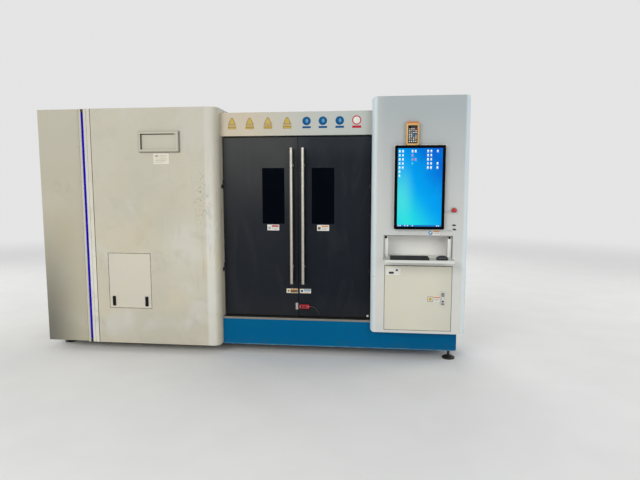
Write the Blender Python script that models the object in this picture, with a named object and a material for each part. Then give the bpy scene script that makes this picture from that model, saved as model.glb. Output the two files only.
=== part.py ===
"""A compact fiber laser cutting machine in its enclosure, in metres, +Z up, the front facing -Y.

On the left stands a tall cabinet with a light strip and a service hatch, in the middle two swing
doors close the cutting chamber over a blue base, and on the right is the control console. The
origin is on the floor, in the middle of the footprint.
"""

import math

import bmesh
import bpy
from mathutils import Matrix, Vector

# Clearances and sheet
SEAT = 0.0003  # between pieces that touch
RUN = 0.0006  # between a slide or pin and what it runs in
SEAM = 0.002  # joint line round a hatch or a door
SHEET = 0.003
ARC_STEPS = 6  # straight pieces in a quarter circle

# Widths from left to right, and depths
LEFT_WIDTH = 1.660
BAY_WIDTH = 1.333
CONSOLE_WIDTH = 0.804
BODY_DEPTH = 1.800
CONSOLE_DEPTH = 0.620
FLAP_REACH = 0.190
DOOR_SETBACK = 0.150
HEADER_SETBACK = 0.120
BASE_SETBACK = 0.085

# Heights
FOOT_HEIGHT = 0.082
FOOT_RADII = (0.055, 0.012, 0.026)
FOOT_PAD_HEIGHT = 0.012
FOOT_NUT_HEIGHT = 0.014
BED_HEIGHT = 0.218
BASE_COVER_HEIGHT = 0.234
SILL_HEIGHT = 0.018
HEADER_BOTTOM = 1.953
HEADER_HEIGHT = 0.202
LEFT_HEIGHT = 2.111
CONSOLE_BOTTOM = 0.255
CONSOLE_HEIGHT = 1.995

# Left cabinet
LEFT_CORNER = 0.080
LEFT_FOOT_CORNER = 0.020
END_PANEL_WIDTH = 0.400
END_PANEL_STEP = 0.020
TRIM_LIP = 0.023
LED_GROOVE_WIDTH = 0.024
LED_GROOVE_DEPTH = 0.012
LED_MARGIN = 0.032
RIB_NARROW = 0.024
RIB_WIDE = 0.034
SHADOW_GROOVE = 0.004
NAMEPLATE_FROM_LEFT = 0.958
NAMEPLATE_BOTTOM = 1.807
NAMEPLATE_SIZE = (0.370, 0.182)
NAMEPLATE_RECESS = (0.322, 0.136)
NAMEPLATE_PROUD = 0.028
NAMEPLATE_BEVEL = 0.012
NAMEPLATE_FLOOR = 0.008
HATCH_FROM_LEFT = 0.6265
HATCH_BOTTOM = 0.410
HATCH_SIZE = (0.396, 0.500)
HATCH_THICKNESS = 0.018
HATCH_CORNER = 0.008
RABBET = 0.016
LATCH_SIZE = (0.027, 0.088)
LATCH_INSET = 0.043
LATCH_RISE = 0.063
LATCH_THICKNESS = 0.009
LATCH_SHAFT = 0.006
LASER_SIZE = (0.520, 0.760, 0.640)
LASER_FROM_LEFT = 0.565
LASER_BEHIND_FRONT = 0.300

# Doors
MEETING_FROM_LEFT = 0.685
MEETING_GAP = 0.004
HINGE_GAP = 0.010
LEAF_THICKNESS = 0.040
LEAF_RIM = 0.018
LEAF_RIB = 0.020
LEAF_RIB_HEIGHTS = (1.110, 1.760)
DOOR_LIFT = 0.006
DOOR_TOP_GAP = 0.011
WINDOW_FROM_MEETING = 0.122
WINDOW_SIZE = (0.201, 0.495)
WINDOW_BOTTOM = 1.178
PANE_THICKNESS = 0.006
PANE_MARGIN = 0.012
HANDLE_FROM_MEETING = 0.051
HANDLE_LENGTH = 1.200
HANDLE_BOTTOM = 0.645
HANDLE_RADIUS = 0.015
HANDLE_REACH = 0.065
HANDLE_POST_INSET = 0.150
POST_RADIUS = 0.007
HINGE_HEIGHTS = (0.780, 1.527)
KNUCKLE_RADIUS = 0.008
KNUCKLE_HEIGHT = 0.040
BARREL_RADIUS = 0.006
BARREL_HEIGHT = 0.034
PIN_RADIUS = 0.0038
KNUCKLE_SINK = 0.0015
HINGE_PLATE = (0.040, 0.003)
FRAME_WIDTH = 0.045
FRAME_DEPTH = 0.040

# Interlock and bumper
SWITCH_SIZE = (0.086, 0.030, 0.036)
SWITCH_FROM_MEETING = 0.013
SWITCH_HEIGHT = 0.432
TONGUE_SIZE = (0.022, 0.010, 0.060)
LEAD_RADIUS = 0.0022
LEAD_BEND = 0.012
# The lead's way from its gland: across the leaf, and down
LEAD_ROUTE = ((0, 0), (0.015, 0.001), (0.035, 0.009), (0.054, 0.024), (0.068, 0.043), (0.077, 0.064))
BUMPER_RADIUS = 0.011
BUMPER_LENGTH = 0.012

# Bed, table and motion
BED_WALL = 0.060
BED_FLOOR = 0.004
RAIL_BEAM_WIDTH = 0.110
RAIL_BEAM_INSET = 0.030
RAIL_BEAM_HEIGHT = 0.650
RAIL_BEAM_END = 0.080
BEAM_WINDOWS = 4
BEAM_WINDOW_SIZE = (0.250, 0.260)
LEDGE = 0.040
TABLE_TOP = 0.860
TABLE_BAR = (0.036, 0.080)
TABLE_BAR_BOTTOM = 0.740
TABLE_LENGTH = 1.210
SLAT_COUNT = 11
SLAT_THICKNESS = 0.004
SLAT_HEIGHT = 0.105
TOOTH_PITCH = 0.050
TOOTH_DEPTH = 0.022
RAIL_SIZE = (0.023, 0.022)
GANTRY_PARK = 0.022
GANTRY_BLOCK = (0.090, 0.180)
BEAM_SECTION = (0.150, 0.180)
BEAM_BOTTOM = 1.030
GUIDE = 0.014
CARRIAGE_SIZE = (0.200, 0.024, 0.270)
SLIDE_SIZE = (0.120, 0.018, 0.230)
NOZZLE_TIP = 0.910
NOZZLE_LENGTH = 0.024
HEAD_RADIUS = 0.034
HEAD_LENGTH = 0.400
CLAMP_HEIGHT = 0.060

# Console
CONSOLE_CORNER = 0.050
CONSOLE_END_CORNER = 0.028
PLINTH_INSET = 0.053
MONITOR_SIZE = (0.411, 0.692)
MONITOR_FROM_LEFT = 0.191
MONITOR_BOTTOM = 1.153
MONITOR_DEPTH = 0.042
BEZEL = 0.024
SCREEN_DEPTH = 0.004
PENDANT_SIZE = (0.104, 0.190)
PENDANT_FROM_LEFT = 0.332
PENDANT_DEPTH = 0.046
PENDANT_RECESS = 0.003
ESTOP_FROM_LEFT = 0.684
ESTOP_HEIGHT = 1.313
ESTOP_RADIUS = 0.020
ESTOP_TRAVEL = 0.005
# The mushroom of the stop button: share of its radius, and height above its underside
ESTOP_DOME = ((0.92, 0), (1, 0.004), (1, 0.010), (0.85, 0.015), (0.4, 0.0175), (0, 0.018))
COLLAR_RADIUS = 0.0245
COLLAR_HEIGHT = 0.012
NICHE_FROM_LEFT = 0.112
NICHE_WIDTH = 0.566
NICHE_BOTTOM = 0.889
NICHE_FLANGE = 0.027
NICHE_COLUMN = 0.036
NICHE_DEPTH = 0.200
FLAP_THICKNESS = 0.022
FLAP_RIM = 0.004
FLAP_RIM_WIDTH = 0.008
FLAP_PIVOT = 0.006
FLAP_PIN = 0.0022
FLAP_LUG = 0.010
KEYBOARD_SIZE = (0.315, 0.125)
KEYBOARD_FROM_LEFT = 0.046
KEYBOARD_FRONT = 0.172
KEYBOARD_HEIGHTS = (0.010, 0.024)
KEY_ROWS = 5
MOUSE_SIZE = (0.100, 0.062, 0.036)
MOUSE_FROM_RIGHT = 0.092
# The dome of the mouse: share of its height, and of its plan there
MOUSE_DOME = ((0, 0.90), (0.12, 0.98), (0.35, 1.0), (0.6, 0.92), (0.82, 0.70), (0.95, 0.42), (1.0, 0.18))
DOOR_PANEL_SIZE = (0.562, 0.555)
DOOR_PANEL_FROM_LEFT = 0.120
DOOR_PANEL_BOTTOM = 0.282
DOOR_PANEL_THICKNESS = 0.020
LOCK_SIZE = (0.040, 0.122)
LOCK_FROM_EDGE = 0.071
LOCK_BOTTOM = 0.501
LOCK_THICKNESS = 0.007
LEVER_SIZE = (0.026, 0.104)
COMPUTER_SIZE = (0.180, 0.360, 0.400)

# Places that follow from the sizes
WIDTH = LEFT_WIDTH + BAY_WIDTH + CONSOLE_WIDTH
LEFT_X = -WIDTH / 2
BAY_X = LEFT_X + LEFT_WIDTH
CONSOLE_X = BAY_X + BAY_WIDTH
RIGHT_X = CONSOLE_X + CONSOLE_WIDTH
FRONT_Y = -(BODY_DEPTH - FLAP_REACH) / 2
REAR_Y = FRONT_Y + BODY_DEPTH
DOOR_Y = FRONT_Y + DOOR_SETBACK
HEADER_Y = FRONT_Y + HEADER_SETBACK
BASE_Y = FRONT_Y + BASE_SETBACK
SHELL_Y = DOOR_Y + LEAF_THICKNESS + SHEET
INNER_REAR_Y = REAR_Y - SHEET - SEAT
BED_TOP = FOOT_HEIGHT + BED_HEIGHT
COVER_TOP = FOOT_HEIGHT + BASE_COVER_HEIGHT
SILL_TOP = COVER_TOP + SILL_HEIGHT
LEFT_TOP = FOOT_HEIGHT + LEFT_HEIGHT
HEADER_TOP = HEADER_BOTTOM + HEADER_HEIGHT
CONSOLE_TOP = CONSOLE_BOTTOM + CONSOLE_HEIGHT
CONSOLE_REAR_Y = FRONT_Y + CONSOLE_DEPTH
MEETING_X = BAY_X + MEETING_FROM_LEFT
BAY_WALL_X = CONSOLE_X - SEAT - SHEET
BED_LEFT_X = LEFT_X + SHEET + SEAT
BED_RIGHT_X = BAY_WALL_X - SEAT
DOOR_BOTTOM = SILL_TOP + DOOR_LIFT
DOOR_TOP = HEADER_BOTTOM - DOOR_TOP_GAP
HINGE_Y = DOOR_Y - KNUCKLE_RADIUS + KNUCKLE_SINK
RAIL_BEAM_TOP = BED_TOP + RAIL_BEAM_HEIGHT
FRAME_Y = DOOR_Y + LEAF_THICKNESS + SEAT
BEAM_FRONT_Y = FRAME_Y + FRAME_DEPTH + RAIL_BEAM_END / 4
BEAM_REAR_Y = INNER_REAR_Y - RAIL_BEAM_END
GANTRY_Y = BEAM_REAR_Y - GANTRY_PARK - GANTRY_BLOCK[1] / 2
BEAM_LEFT_X = BAY_X + RAIL_BEAM_INSET
BEAM_RIGHT_X = CONSOLE_X - RAIL_BEAM_INSET
CHAMBER_LEFT_X = BEAM_LEFT_X + RAIL_BEAM_WIDTH
CHAMBER_RIGHT_X = BEAM_RIGHT_X - RAIL_BEAM_WIDTH
CHAMBER_X = (CHAMBER_LEFT_X + CHAMBER_RIGHT_X) / 2
RAIL_LEFT_X = (BEAM_LEFT_X + CHAMBER_LEFT_X) / 2
RAIL_RIGHT_X = (BEAM_RIGHT_X + CHAMBER_RIGHT_X) / 2
RAIL_TOP = RAIL_BEAM_TOP + SEAT + RAIL_SIZE[1]
TRIM_X = LEFT_X + END_PANEL_WIDTH
LED_X = TRIM_X + TRIM_LIP + LED_GROOVE_WIDTH / 2
HATCH_X = LEFT_X + HATCH_FROM_LEFT
HATCH_TOP = HATCH_BOTTOM + HATCH_SIZE[1]
NICHE_X = CONSOLE_X + NICHE_FROM_LEFT
NICHE_RIGHT_X = NICHE_X + NICHE_WIDTH
NICHE_TOP = NICHE_BOTTOM + FLAP_REACH + 2 * (FLAP_PIVOT + SEAM)
FLAP_LEFT_X = NICHE_X + SEAM
FLAP_RIGHT_X = NICHE_RIGHT_X - SEAM
FLAP_TOP = NICHE_BOTTOM + SEAM + FLAP_THICKNESS
FLAP_AXIS = (FRONT_Y + FLAP_PIVOT, NICHE_BOTTOM + SEAM + FLAP_PIVOT)
DOOR_PANEL_X = CONSOLE_X + DOOR_PANEL_FROM_LEFT
LOCK_X = DOOR_PANEL_X + DOOR_PANEL_SIZE[0] - LOCK_FROM_EDGE
LEVER_PIVOT_Z = LOCK_BOTTOM + LEVER_SIZE[0]
ESTOP_X = CONSOLE_X + ESTOP_FROM_LEFT


# Materials

def material(name, colour, roughness, metallic=0.0):
    made = bpy.data.materials.get(name)
    if made is None:
        made = bpy.data.materials.new(name)
        made.use_nodes = True
        shader = made.node_tree.nodes["Principled BSDF"]
        shader.inputs["Base Color"].default_value = (*colour, 1.0)
        shader.inputs["Roughness"].default_value = roughness
        shader.inputs["Metallic"].default_value = metallic
    return made


def ivory():
    return material("ivory_powder_coat", (0.60, 0.58, 0.50), 0.45)


def white():
    return material("white_powder_coat", (0.66, 0.67, 0.66), 0.42)


def graphite():
    return material("graphite_powder_coat", (0.022, 0.025, 0.032), 0.38)


def blue():
    return material("blue_paint", (0.0, 0.115, 0.25), 0.4)


def steel():
    return material("brushed_steel", (0.55, 0.55, 0.53), 0.35, 1.0)


def dark_metal():
    return material("dark_metal", (0.03, 0.03, 0.03), 0.45, 0.6)


def bed_paint():
    return material("grey_machine_paint", (0.20, 0.21, 0.22), 0.5)


def black_plastic():
    return material("black_plastic", (0.012, 0.012, 0.013), 0.4)


# Shapes

def arc(centre, radius, start, end, steps=ARC_STEPS):
    """Points of an arc, angles in degrees."""
    points = []
    for step in range(steps + 1):
        angle = math.radians(start + (end - start) * step / steps)
        points.append((centre[0] + radius * math.cos(angle), centre[1] + radius * math.sin(angle)))
    return points


def rounded_rectangle(a0, a1, b0, b1, radius, steps=ARC_STEPS):
    """A rectangle with round corners, anticlockwise from its lower right corner."""
    corners = ((a1 - radius, b0 + radius, -90), (a1 - radius, b1 - radius, 0),
               (a0 + radius, b1 - radius, 90), (a0 + radius, b0 + radius, 180))
    outline = []
    for a, b, start in corners:
        outline += arc((a, b), radius, start, start + 90, steps)
    return outline


def rectangle(a0, a1, b0, b1):
    return [(a0, b0), (a1, b0), (a1, b1), (a0, b1)]


def on_plane(axis, a, b, along):
    """A point of a drawing plane: X takes (y, z), Y takes (x, z) and Z takes (x, y)."""
    if axis == "X":
        return Vector((along, a, b))
    if axis == "Y":
        return Vector((a, along, b))
    return Vector((a, b, along))


def loft(rings):
    """A closed solid through rings of equally many points, with flat ends."""
    mesh = bmesh.new()
    made = []
    for ring in rings:
        made.append([mesh.verts.new(point) for point in ring])
    count = len(made[0])
    for lower, upper in zip(made, made[1:]):
        for index in range(count):
            after = (index + 1) % count
            mesh.faces.new((lower[index], lower[after], upper[after], upper[index]))
    mesh.faces.new(made[0])
    mesh.faces.new(made[-1])
    bmesh.ops.recalc_face_normals(mesh, faces=mesh.faces)
    return mesh


def prism(outline, axis, low, high):
    """An outline on a drawing plane, extruded from low to high."""
    return loft([[on_plane(axis, a, b, along) for a, b in outline] for along in (low, high)])


def block(x, y, z):
    return prism(rectangle(*x, *y), "Z", *z)


def turned(profile, segments=24):
    """A round solid about Z: profile holds (radius, height) from the bottom up, closed on the axis."""
    mesh = bmesh.new()
    rings = []
    for radius, height in profile:
        if radius == 0:
            rings.append([mesh.verts.new((0, 0, height))])
            continue
        ring = []
        for step in range(segments):
            angle = 2 * math.pi * step / segments
            ring.append(mesh.verts.new((radius * math.cos(angle), radius * math.sin(angle), height)))
        rings.append(ring)
    closed = rings + [rings[0]] if len(rings[0]) > 1 else rings
    for lower, upper in zip(closed, closed[1:]):
        for step in range(segments):
            after = (step + 1) % segments
            corners = [lower[step % len(lower)], lower[after % len(lower)],
                       upper[after % len(upper)], upper[step % len(upper)]]
            face = list(dict.fromkeys(corners))
            if len(face) > 2:
                mesh.faces.new(face)
    bmesh.ops.recalc_face_normals(mesh, faces=mesh.faces)
    return mesh


def placed(mesh, location, axis="Z"):
    """Turns a solid made along Z to point along the axis, then moves it."""
    turns = {"Z": Matrix.Identity(4), "-Y": Matrix.Rotation(math.radians(90), 4, "X"),
             "X": Matrix.Rotation(math.radians(90), 4, "Y")}
    bmesh.ops.transform(mesh, matrix=Matrix.Translation(location) @ turns[axis], verts=mesh.verts)
    return mesh


def rod(radius, low, high, location, axis="Z", segments=24):
    return placed(turned([(0, low), (radius, low), (radius, high), (0, high)], segments), location, axis)


def piece(name, mesh, look, pivot=None):
    """One named object from a solid, on its joint's empty where it moves."""
    data = bpy.data.meshes.new(name)
    mesh.to_mesh(data)
    mesh.free()
    made = bpy.data.objects.new(name, data)
    bpy.context.scene.collection.objects.link(made)
    data.materials.append(look)
    if pivot is not None:
        made.parent = pivot
        made.matrix_parent_inverse = Matrix.Translation(-world_place(pivot))
    return made


def combined(target, operation, mesh):
    """The target joined with, cut by or limited to another solid."""
    other = piece("cutter", mesh, target.data.materials[0])
    modifier = target.modifiers.new("combine", "BOOLEAN")
    modifier.operation = operation
    modifier.solver = "EXACT"
    modifier.object = other
    graph = bpy.context.evaluated_depsgraph_get()
    result = bpy.data.meshes.new_from_object(target.evaluated_get(graph))
    target.modifiers.clear()
    spent = (target.data, other.data)
    target.data = result
    bpy.data.objects.remove(other)
    for data in spent:
        bpy.data.meshes.remove(data)
    return target


def cut(target, *meshes):
    for mesh in meshes:
        combined(target, "DIFFERENCE", mesh)
    return target


def join(target, *meshes):
    for mesh in meshes:
        combined(target, "UNION", mesh)
    return target


def smooth(target, angle=35):
    target.data.shade_smooth()
    target.data.set_sharp_from_angle(angle=math.radians(angle))
    return target


PLACES = {}


def pivot_at(name, location, parent=None):
    """An empty on a joint's axis."""
    made = bpy.data.objects.new(name, None)
    bpy.context.scene.collection.objects.link(made)
    made.location = location
    PLACES[name] = Vector(location)
    if parent is not None:
        made.parent = parent
        made.matrix_parent_inverse = Matrix.Translation(-world_place(parent))
    return made


def world_place(pivot):
    return PLACES[pivot.name]


# Base

def machine_bed():
    """A welded tray with two pockets, two windowed rail beams and the ledges that carry the table."""
    front = BASE_Y + SHEET + SEAT
    rear = INNER_REAR_Y
    plan = [(BED_LEFT_X, SHELL_Y + SEAT), (BAY_X + SEAT, SHELL_Y + SEAT), (BAY_X + SEAT, front),
            (BED_RIGHT_X, front), (BED_RIGHT_X, rear), (BED_LEFT_X, rear)]
    bed = piece("machine_bed", prism(plan, "Z", FOOT_HEIGHT, BED_TOP), bed_paint())
    floor = FOOT_HEIGHT + BED_FLOOR
    above = BED_TOP + BED_WALL
    left_pocket = (BED_LEFT_X + BED_WALL, BAY_X - BED_WALL)
    cut(bed, block(left_pocket, (SHELL_Y + BED_WALL, rear - BED_WALL), (floor, above)))
    cut(bed, block((CHAMBER_LEFT_X, CHAMBER_RIGHT_X), (front + BED_WALL, rear - BED_WALL), (floor, above)))
    sides = ((BEAM_LEFT_X, CHAMBER_LEFT_X, CHAMBER_LEFT_X, CHAMBER_LEFT_X + LEDGE),
             (CHAMBER_RIGHT_X, BEAM_RIGHT_X, CHAMBER_RIGHT_X - LEDGE, CHAMBER_RIGHT_X))
    ledge_top = TABLE_BAR_BOTTOM - SEAT
    for x0, x1, ledge_x0, ledge_x1 in sides:
        join(bed, block((x0, x1), (BEAM_FRONT_Y, BEAM_REAR_Y), (BED_TOP - SHEET, RAIL_BEAM_TOP)))
        reach = SHEET
        ledge = block((ledge_x0 - reach, ledge_x1) if ledge_x0 == x1 else (ledge_x0, ledge_x1 + reach),
                      (BEAM_FRONT_Y + SHEET, BEAM_FRONT_Y + TABLE_LENGTH), (ledge_top - LEDGE, ledge_top))
        join(bed, ledge)
    spacing = (BEAM_REAR_Y - BEAM_FRONT_Y) / BEAM_WINDOWS
    middle_z = BED_TOP + BEAM_WINDOW_SIZE[1] / 2 + BED_WALL
    for index in range(BEAM_WINDOWS):
        middle_y = BEAM_FRONT_Y + spacing * (index + 0.5)
        half_y, half_z = BEAM_WINDOW_SIZE[0] / 2, BEAM_WINDOW_SIZE[1] / 2
        window = rounded_rectangle(middle_y - half_y, middle_y + half_y,
                                   middle_z - half_z, middle_z + half_z, BED_WALL, 4)
        cut(bed, prism(window, "X", BEAM_LEFT_X - SHEET, BEAM_RIGHT_X + SHEET))
    return bed


def folded_along_x(name, section, look):
    """A folded strip across the bay, from its section in y and z."""
    return piece(name, prism(section, "X", BAY_X + SEAT, CONSOLE_X - SEAT), look)


def base_front_cover():
    """A front face with a shelf that rests on the bed and a rolled top edge."""
    inner = BASE_Y + SHEET
    low = BED_TOP + SEAT
    section = [(BASE_Y, FOOT_HEIGHT), (inner, FOOT_HEIGHT), (inner, low), (DOOR_Y, low),
               (DOOR_Y, low + SHEET), (inner + SHEET, low + SHEET), (inner + SHEET, COVER_TOP),
               (BASE_Y, COVER_TOP)]
    return folded_along_x("base_front_cover", section, blue())


def sill_strip():
    """A steel angle over the blue cover, with a leg down to the bed behind the doors."""
    back = DOOR_Y + LEAF_THICKNESS
    low = COVER_TOP + SEAT
    section = [(BASE_Y, low), (BASE_Y + SHEET * 3, low), (BASE_Y + SHEET * 3, SILL_TOP - SHEET),
               (back - SHEET, SILL_TOP - SHEET), (back - SHEET, BED_TOP + SEAT), (back, BED_TOP + SEAT),
               (back, SILL_TOP), (BASE_Y, SILL_TOP)]
    return folded_along_x("sill_strip", section, steel())


def console_plinth():
    """The blue stand under the console, with a round front corner, open below."""
    left, right = CONSOLE_X + SEAT, RIGHT_X - PLINTH_INSET
    rear = CONSOLE_REAR_Y - PLINTH_INSET
    radius = CONSOLE_END_CORNER
    inner_radius = radius - SHEET
    top = CONSOLE_BOTTOM - SEAT

    def plan(inset, corner):
        turn = arc((right - radius, BASE_Y + radius), corner, -90, 0)
        left_side = [(left + inset, rear - inset), (left + inset, BASE_Y + inset)]
        return left_side + turn + [(right - inset, rear - inset)]

    plinth = piece("console_plinth", prism(plan(0, radius), "Z", FOOT_HEIGHT, top), blue())
    cut(plinth, prism(plan(SHEET, inner_radius), "Z", FOOT_HEIGHT - SHEET, top - SHEET))
    return smooth(plinth)


def levelling_foot(name, x, y, top):
    """A wide pad, a threaded stem and the nut under the frame that it carries."""
    pad, stem, nut = FOOT_RADII
    nut_low = top - FOOT_NUT_HEIGHT
    profile = [(0, 0), (pad, 0), (pad, FOOT_PAD_HEIGHT), (pad * 0.7, FOOT_PAD_HEIGHT * 1.8),
               (stem, FOOT_PAD_HEIGHT * 2.2), (stem, nut_low), (nut, nut_low), (nut, top), (0, top)]
    return smooth(piece(name, placed(turned(profile, 20), (x, y, 0)), dark_metal()))


def base():
    machine_bed()
    base_front_cover()
    sill_strip()
    console_plinth()
    inset = BED_WALL
    under_bed = FOOT_HEIGHT - SEAT
    under_plinth_top = CONSOLE_BOTTOM - SHEET - 2 * SEAT
    levelling_foot("foot_front_left", BED_LEFT_X + inset, SHELL_Y + inset, under_bed)
    levelling_foot("foot_rear_left", BED_LEFT_X + inset, INNER_REAR_Y - inset, under_bed)
    levelling_foot("foot_rear_right", BED_RIGHT_X - inset, INNER_REAR_Y - inset, under_bed)
    levelling_foot("foot_front_right", RIGHT_X - PLINTH_INSET - inset, BASE_Y + inset, under_plinth_top)


# Left cabinet

def trim_outline():
    """The front face from left to right: end panel, light groove, two ribs with a shadow groove."""
    behind = FRONT_Y + END_PANEL_STEP
    points = [(LEFT_X, behind), (TRIM_X, behind), (TRIM_X, FRONT_Y)]
    x = TRIM_X + TRIM_LIP
    points += [(x, FRONT_Y), (x, FRONT_Y + LED_GROOVE_DEPTH)]
    x += LED_GROOVE_WIDTH
    points += [(x, FRONT_Y + LED_GROOVE_DEPTH), (x, FRONT_Y)]
    for rib in (RIB_NARROW, RIB_WIDE):
        x += rib
        points += [(x, FRONT_Y), (x, FRONT_Y + SHADOW_GROOVE)]
        x += SHADOW_GROOVE
        points += [(x, FRONT_Y + SHADOW_GROOVE), (x, FRONT_Y)]
    return points


def left_front_panel():
    """One folded shell: front with its trim, round right corner, short sides and a floor."""
    corner = (BAY_X - LEFT_CORNER, FRONT_Y + LEFT_CORNER)
    outer = trim_outline() + arc(corner, LEFT_CORNER, -90, 0) + [(BAY_X, SHELL_Y), (LEFT_X, SHELL_Y)]
    panel = piece("left_front_panel", prism(outer, "Z", FOOT_HEIGHT, LEFT_TOP), ivory())
    inner_x = LEFT_X + SHEET
    step_y = FRONT_Y + END_PANEL_STEP + SHEET
    trim_end = trim_outline()[-1][0] + SHEET
    inner = [(inner_x, step_y), (trim_end, step_y), (trim_end, FRONT_Y + SHEET)]
    inner += arc(corner, LEFT_CORNER - SHEET, -90, 0)
    inner += [(BAY_X - SHEET, SHELL_Y + SHEET), (inner_x, SHELL_Y + SHEET)]
    cut(panel, prism(inner, "Z", FOOT_HEIGHT + SHEET, LEFT_TOP + SHEET))
    rounded = [(LEFT_X - SHEET, FOOT_HEIGHT)]
    rounded += arc((BAY_X - LEFT_FOOT_CORNER, FOOT_HEIGHT + LEFT_FOOT_CORNER), LEFT_FOOT_CORNER, -90, 0)
    rounded += [(BAY_X, LEFT_TOP), (LEFT_X - SHEET, LEFT_TOP)]
    combined(panel, "INTERSECT", prism(rounded, "Y", FRONT_Y - SHEET, SHELL_Y + SHEET))
    hatch_x = (HATCH_X, HATCH_X + HATCH_SIZE[0])
    add_rabbet(panel, hatch_x, (HATCH_BOTTOM, HATCH_TOP), HATCH_THICKNESS, HATCH_CORNER)
    return smooth(panel)


def add_rabbet(panel, x, z, depth, corner):
    """An opening with a folded edge behind it that a flush door or hatch closes against."""
    x0, x1, z0, z1 = x[0] - SEAM, x[1] + SEAM, z[0] - SEAM, z[1] + SEAM
    stop = FRONT_Y + depth + SEAT
    wall = rounded_rectangle(x0 - SHEET, x1 + SHEET, z0 - SHEET, z1 + SHEET, corner + SHEET, 3)
    opening = rounded_rectangle(x0, x1, z0, z1, corner, 3)
    clear = rounded_rectangle(x0 + RABBET, x1 - RABBET, z0 + RABBET, z1 - RABBET, corner, 3)
    join(panel, prism(wall, "Y", FRONT_Y + SHEET / 2, stop + SHEET))
    cut(panel, prism(opening, "Y", FRONT_Y - SHEET, stop))
    cut(panel, prism(clear, "Y", FRONT_Y, stop + SHEET * 2))


def left_covers():
    """End panel, roof and inner wall, plain sheets that butt against the front shell."""
    start = SHELL_Y + SEAT
    end = block((LEFT_X, LEFT_X + SHEET), (start, REAR_Y), (FOOT_HEIGHT, LEFT_TOP))
    piece("left_side_panel", end, ivory())
    inner_x = BAY_X - SHEET
    wall = block((inner_x, BAY_X), (start, INNER_REAR_Y), (BED_TOP + SEAT, LEFT_TOP))
    piece("left_inner_wall", wall, ivory())
    lip = SHEET + SEAT
    top = LEFT_TOP - SHEET
    lid_x = (LEFT_X + lip, inner_x - SEAT)
    roof = piece("left_roof_panel", block(lid_x, (start, INNER_REAR_Y), (top - LEDGE, top)), ivory())
    inside_x = (lid_x[0] + SHEET, lid_x[1] - SHEET)
    cut(roof, block(inside_x, (start + SHEET, INNER_REAR_Y - SHEET), (top - LEDGE - SHEET, top - SHEET)))
    front_x = (LEFT_X + lip, TRIM_X)
    front_y = FRONT_Y + END_PANEL_STEP + SHEET + SEAT
    join(roof, block(front_x, (front_y, start + SHEET / 2), (top - SHEET, top)))
    corner = (BAY_X - LEFT_CORNER, FRONT_Y + LEFT_CORNER)
    cover = [(TRIM_X - SHEET, front_y), (trim_outline()[-1][0] + lip * 2, front_y)]
    cover += [(trim_outline()[-1][0] + lip * 2, FRONT_Y + lip)]
    cover += arc(corner, LEFT_CORNER - lip, -90, 0)
    cover += [(BAY_X - lip, start + SHEET / 2), (TRIM_X - SHEET, start + SHEET / 2)]
    join(roof, prism(cover, "Z", top - SHEET, top))
    return roof


def light_strip():
    """The diffuser in its groove, with a slightly crowned face."""
    half = LED_GROOVE_WIDTH / 2 - RUN
    back = FRONT_Y + LED_GROOVE_DEPTH - SEAT
    front = FRONT_Y + LED_GROOVE_DEPTH / 4
    section = [(LED_X + half, back), (LED_X + half, front + SHEET)]
    section += [(LED_X + half / 2, front), (LED_X - half / 2, front)]
    section += [(LED_X - half, front + SHEET), (LED_X - half, back)]
    look = material("blue_light", (0.01, 0.01, 0.45), 0.4)
    strip = prism(section, "Z", FOOT_HEIGHT + LED_MARGIN, LEFT_TOP - LED_MARGIN)
    return smooth(piece("led_strip", strip, look))


def nameplate_frame():
    """A raised frame with mitred, bevelled sides round a bare recessed panel."""
    x = LEFT_X + NAMEPLATE_FROM_LEFT + NAMEPLATE_SIZE[0] / 2
    z = NAMEPLATE_BOTTOM + NAMEPLATE_SIZE[1] / 2
    back = FRONT_Y - SEAT

    def ring(size, inset, proud):
        half_x, half_z = size[0] / 2 - inset, size[1] / 2 - inset
        signs = ((-1, -1), (1, -1), (1, 1), (-1, 1))
        return [Vector((x + a * half_x, back - proud, z + b * half_z)) for a, b in signs]

    shoulder = NAMEPLATE_PROUD - NAMEPLATE_BEVEL
    rings = [ring(NAMEPLATE_SIZE, 0, 0), ring(NAMEPLATE_SIZE, 0, shoulder),
             ring(NAMEPLATE_SIZE, NAMEPLATE_BEVEL, NAMEPLATE_PROUD),
             ring(NAMEPLATE_RECESS, 0, NAMEPLATE_PROUD),
             ring(NAMEPLATE_RECESS, SHEET, NAMEPLATE_FLOOR)]
    return piece("nameplate_frame", loft(rings), ivory())


def laser_source():
    """A floor-standing laser unit with a recessed front and cooling slots."""
    width, depth, height = LASER_SIZE
    x0, y0 = LEFT_X + LASER_FROM_LEFT, FRONT_Y + LASER_BEHIND_FRONT
    z0 = FOOT_HEIGHT + BED_FLOOR + SEAT
    plan = rounded_rectangle(x0, x0 + width, y0, y0 + depth, LED_GROOVE_WIDTH, 3)
    source = piece("laser_source", prism(plan, "Z", z0, z0 + height), graphite())
    face = rounded_rectangle(x0 + BED_WALL, x0 + width - BED_WALL,
                             z0 + height / 2, z0 + height - BED_WALL, LEAF_RIB, 3)
    cut(source, prism(face, "Y", y0 - SHEET, y0 + SHEET * 2))
    slots = 6
    for index in range(slots):
        z = z0 + height / 4 + index * LEAF_RIB
        slot_x = (x0 + BED_WALL, x0 + width - BED_WALL)
        slot = block(slot_x, (y0 - SHEET, y0 + LEAF_RIB), (z, z + LEAF_RIB / 2))
        cut(source, slot)
    return source


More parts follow.
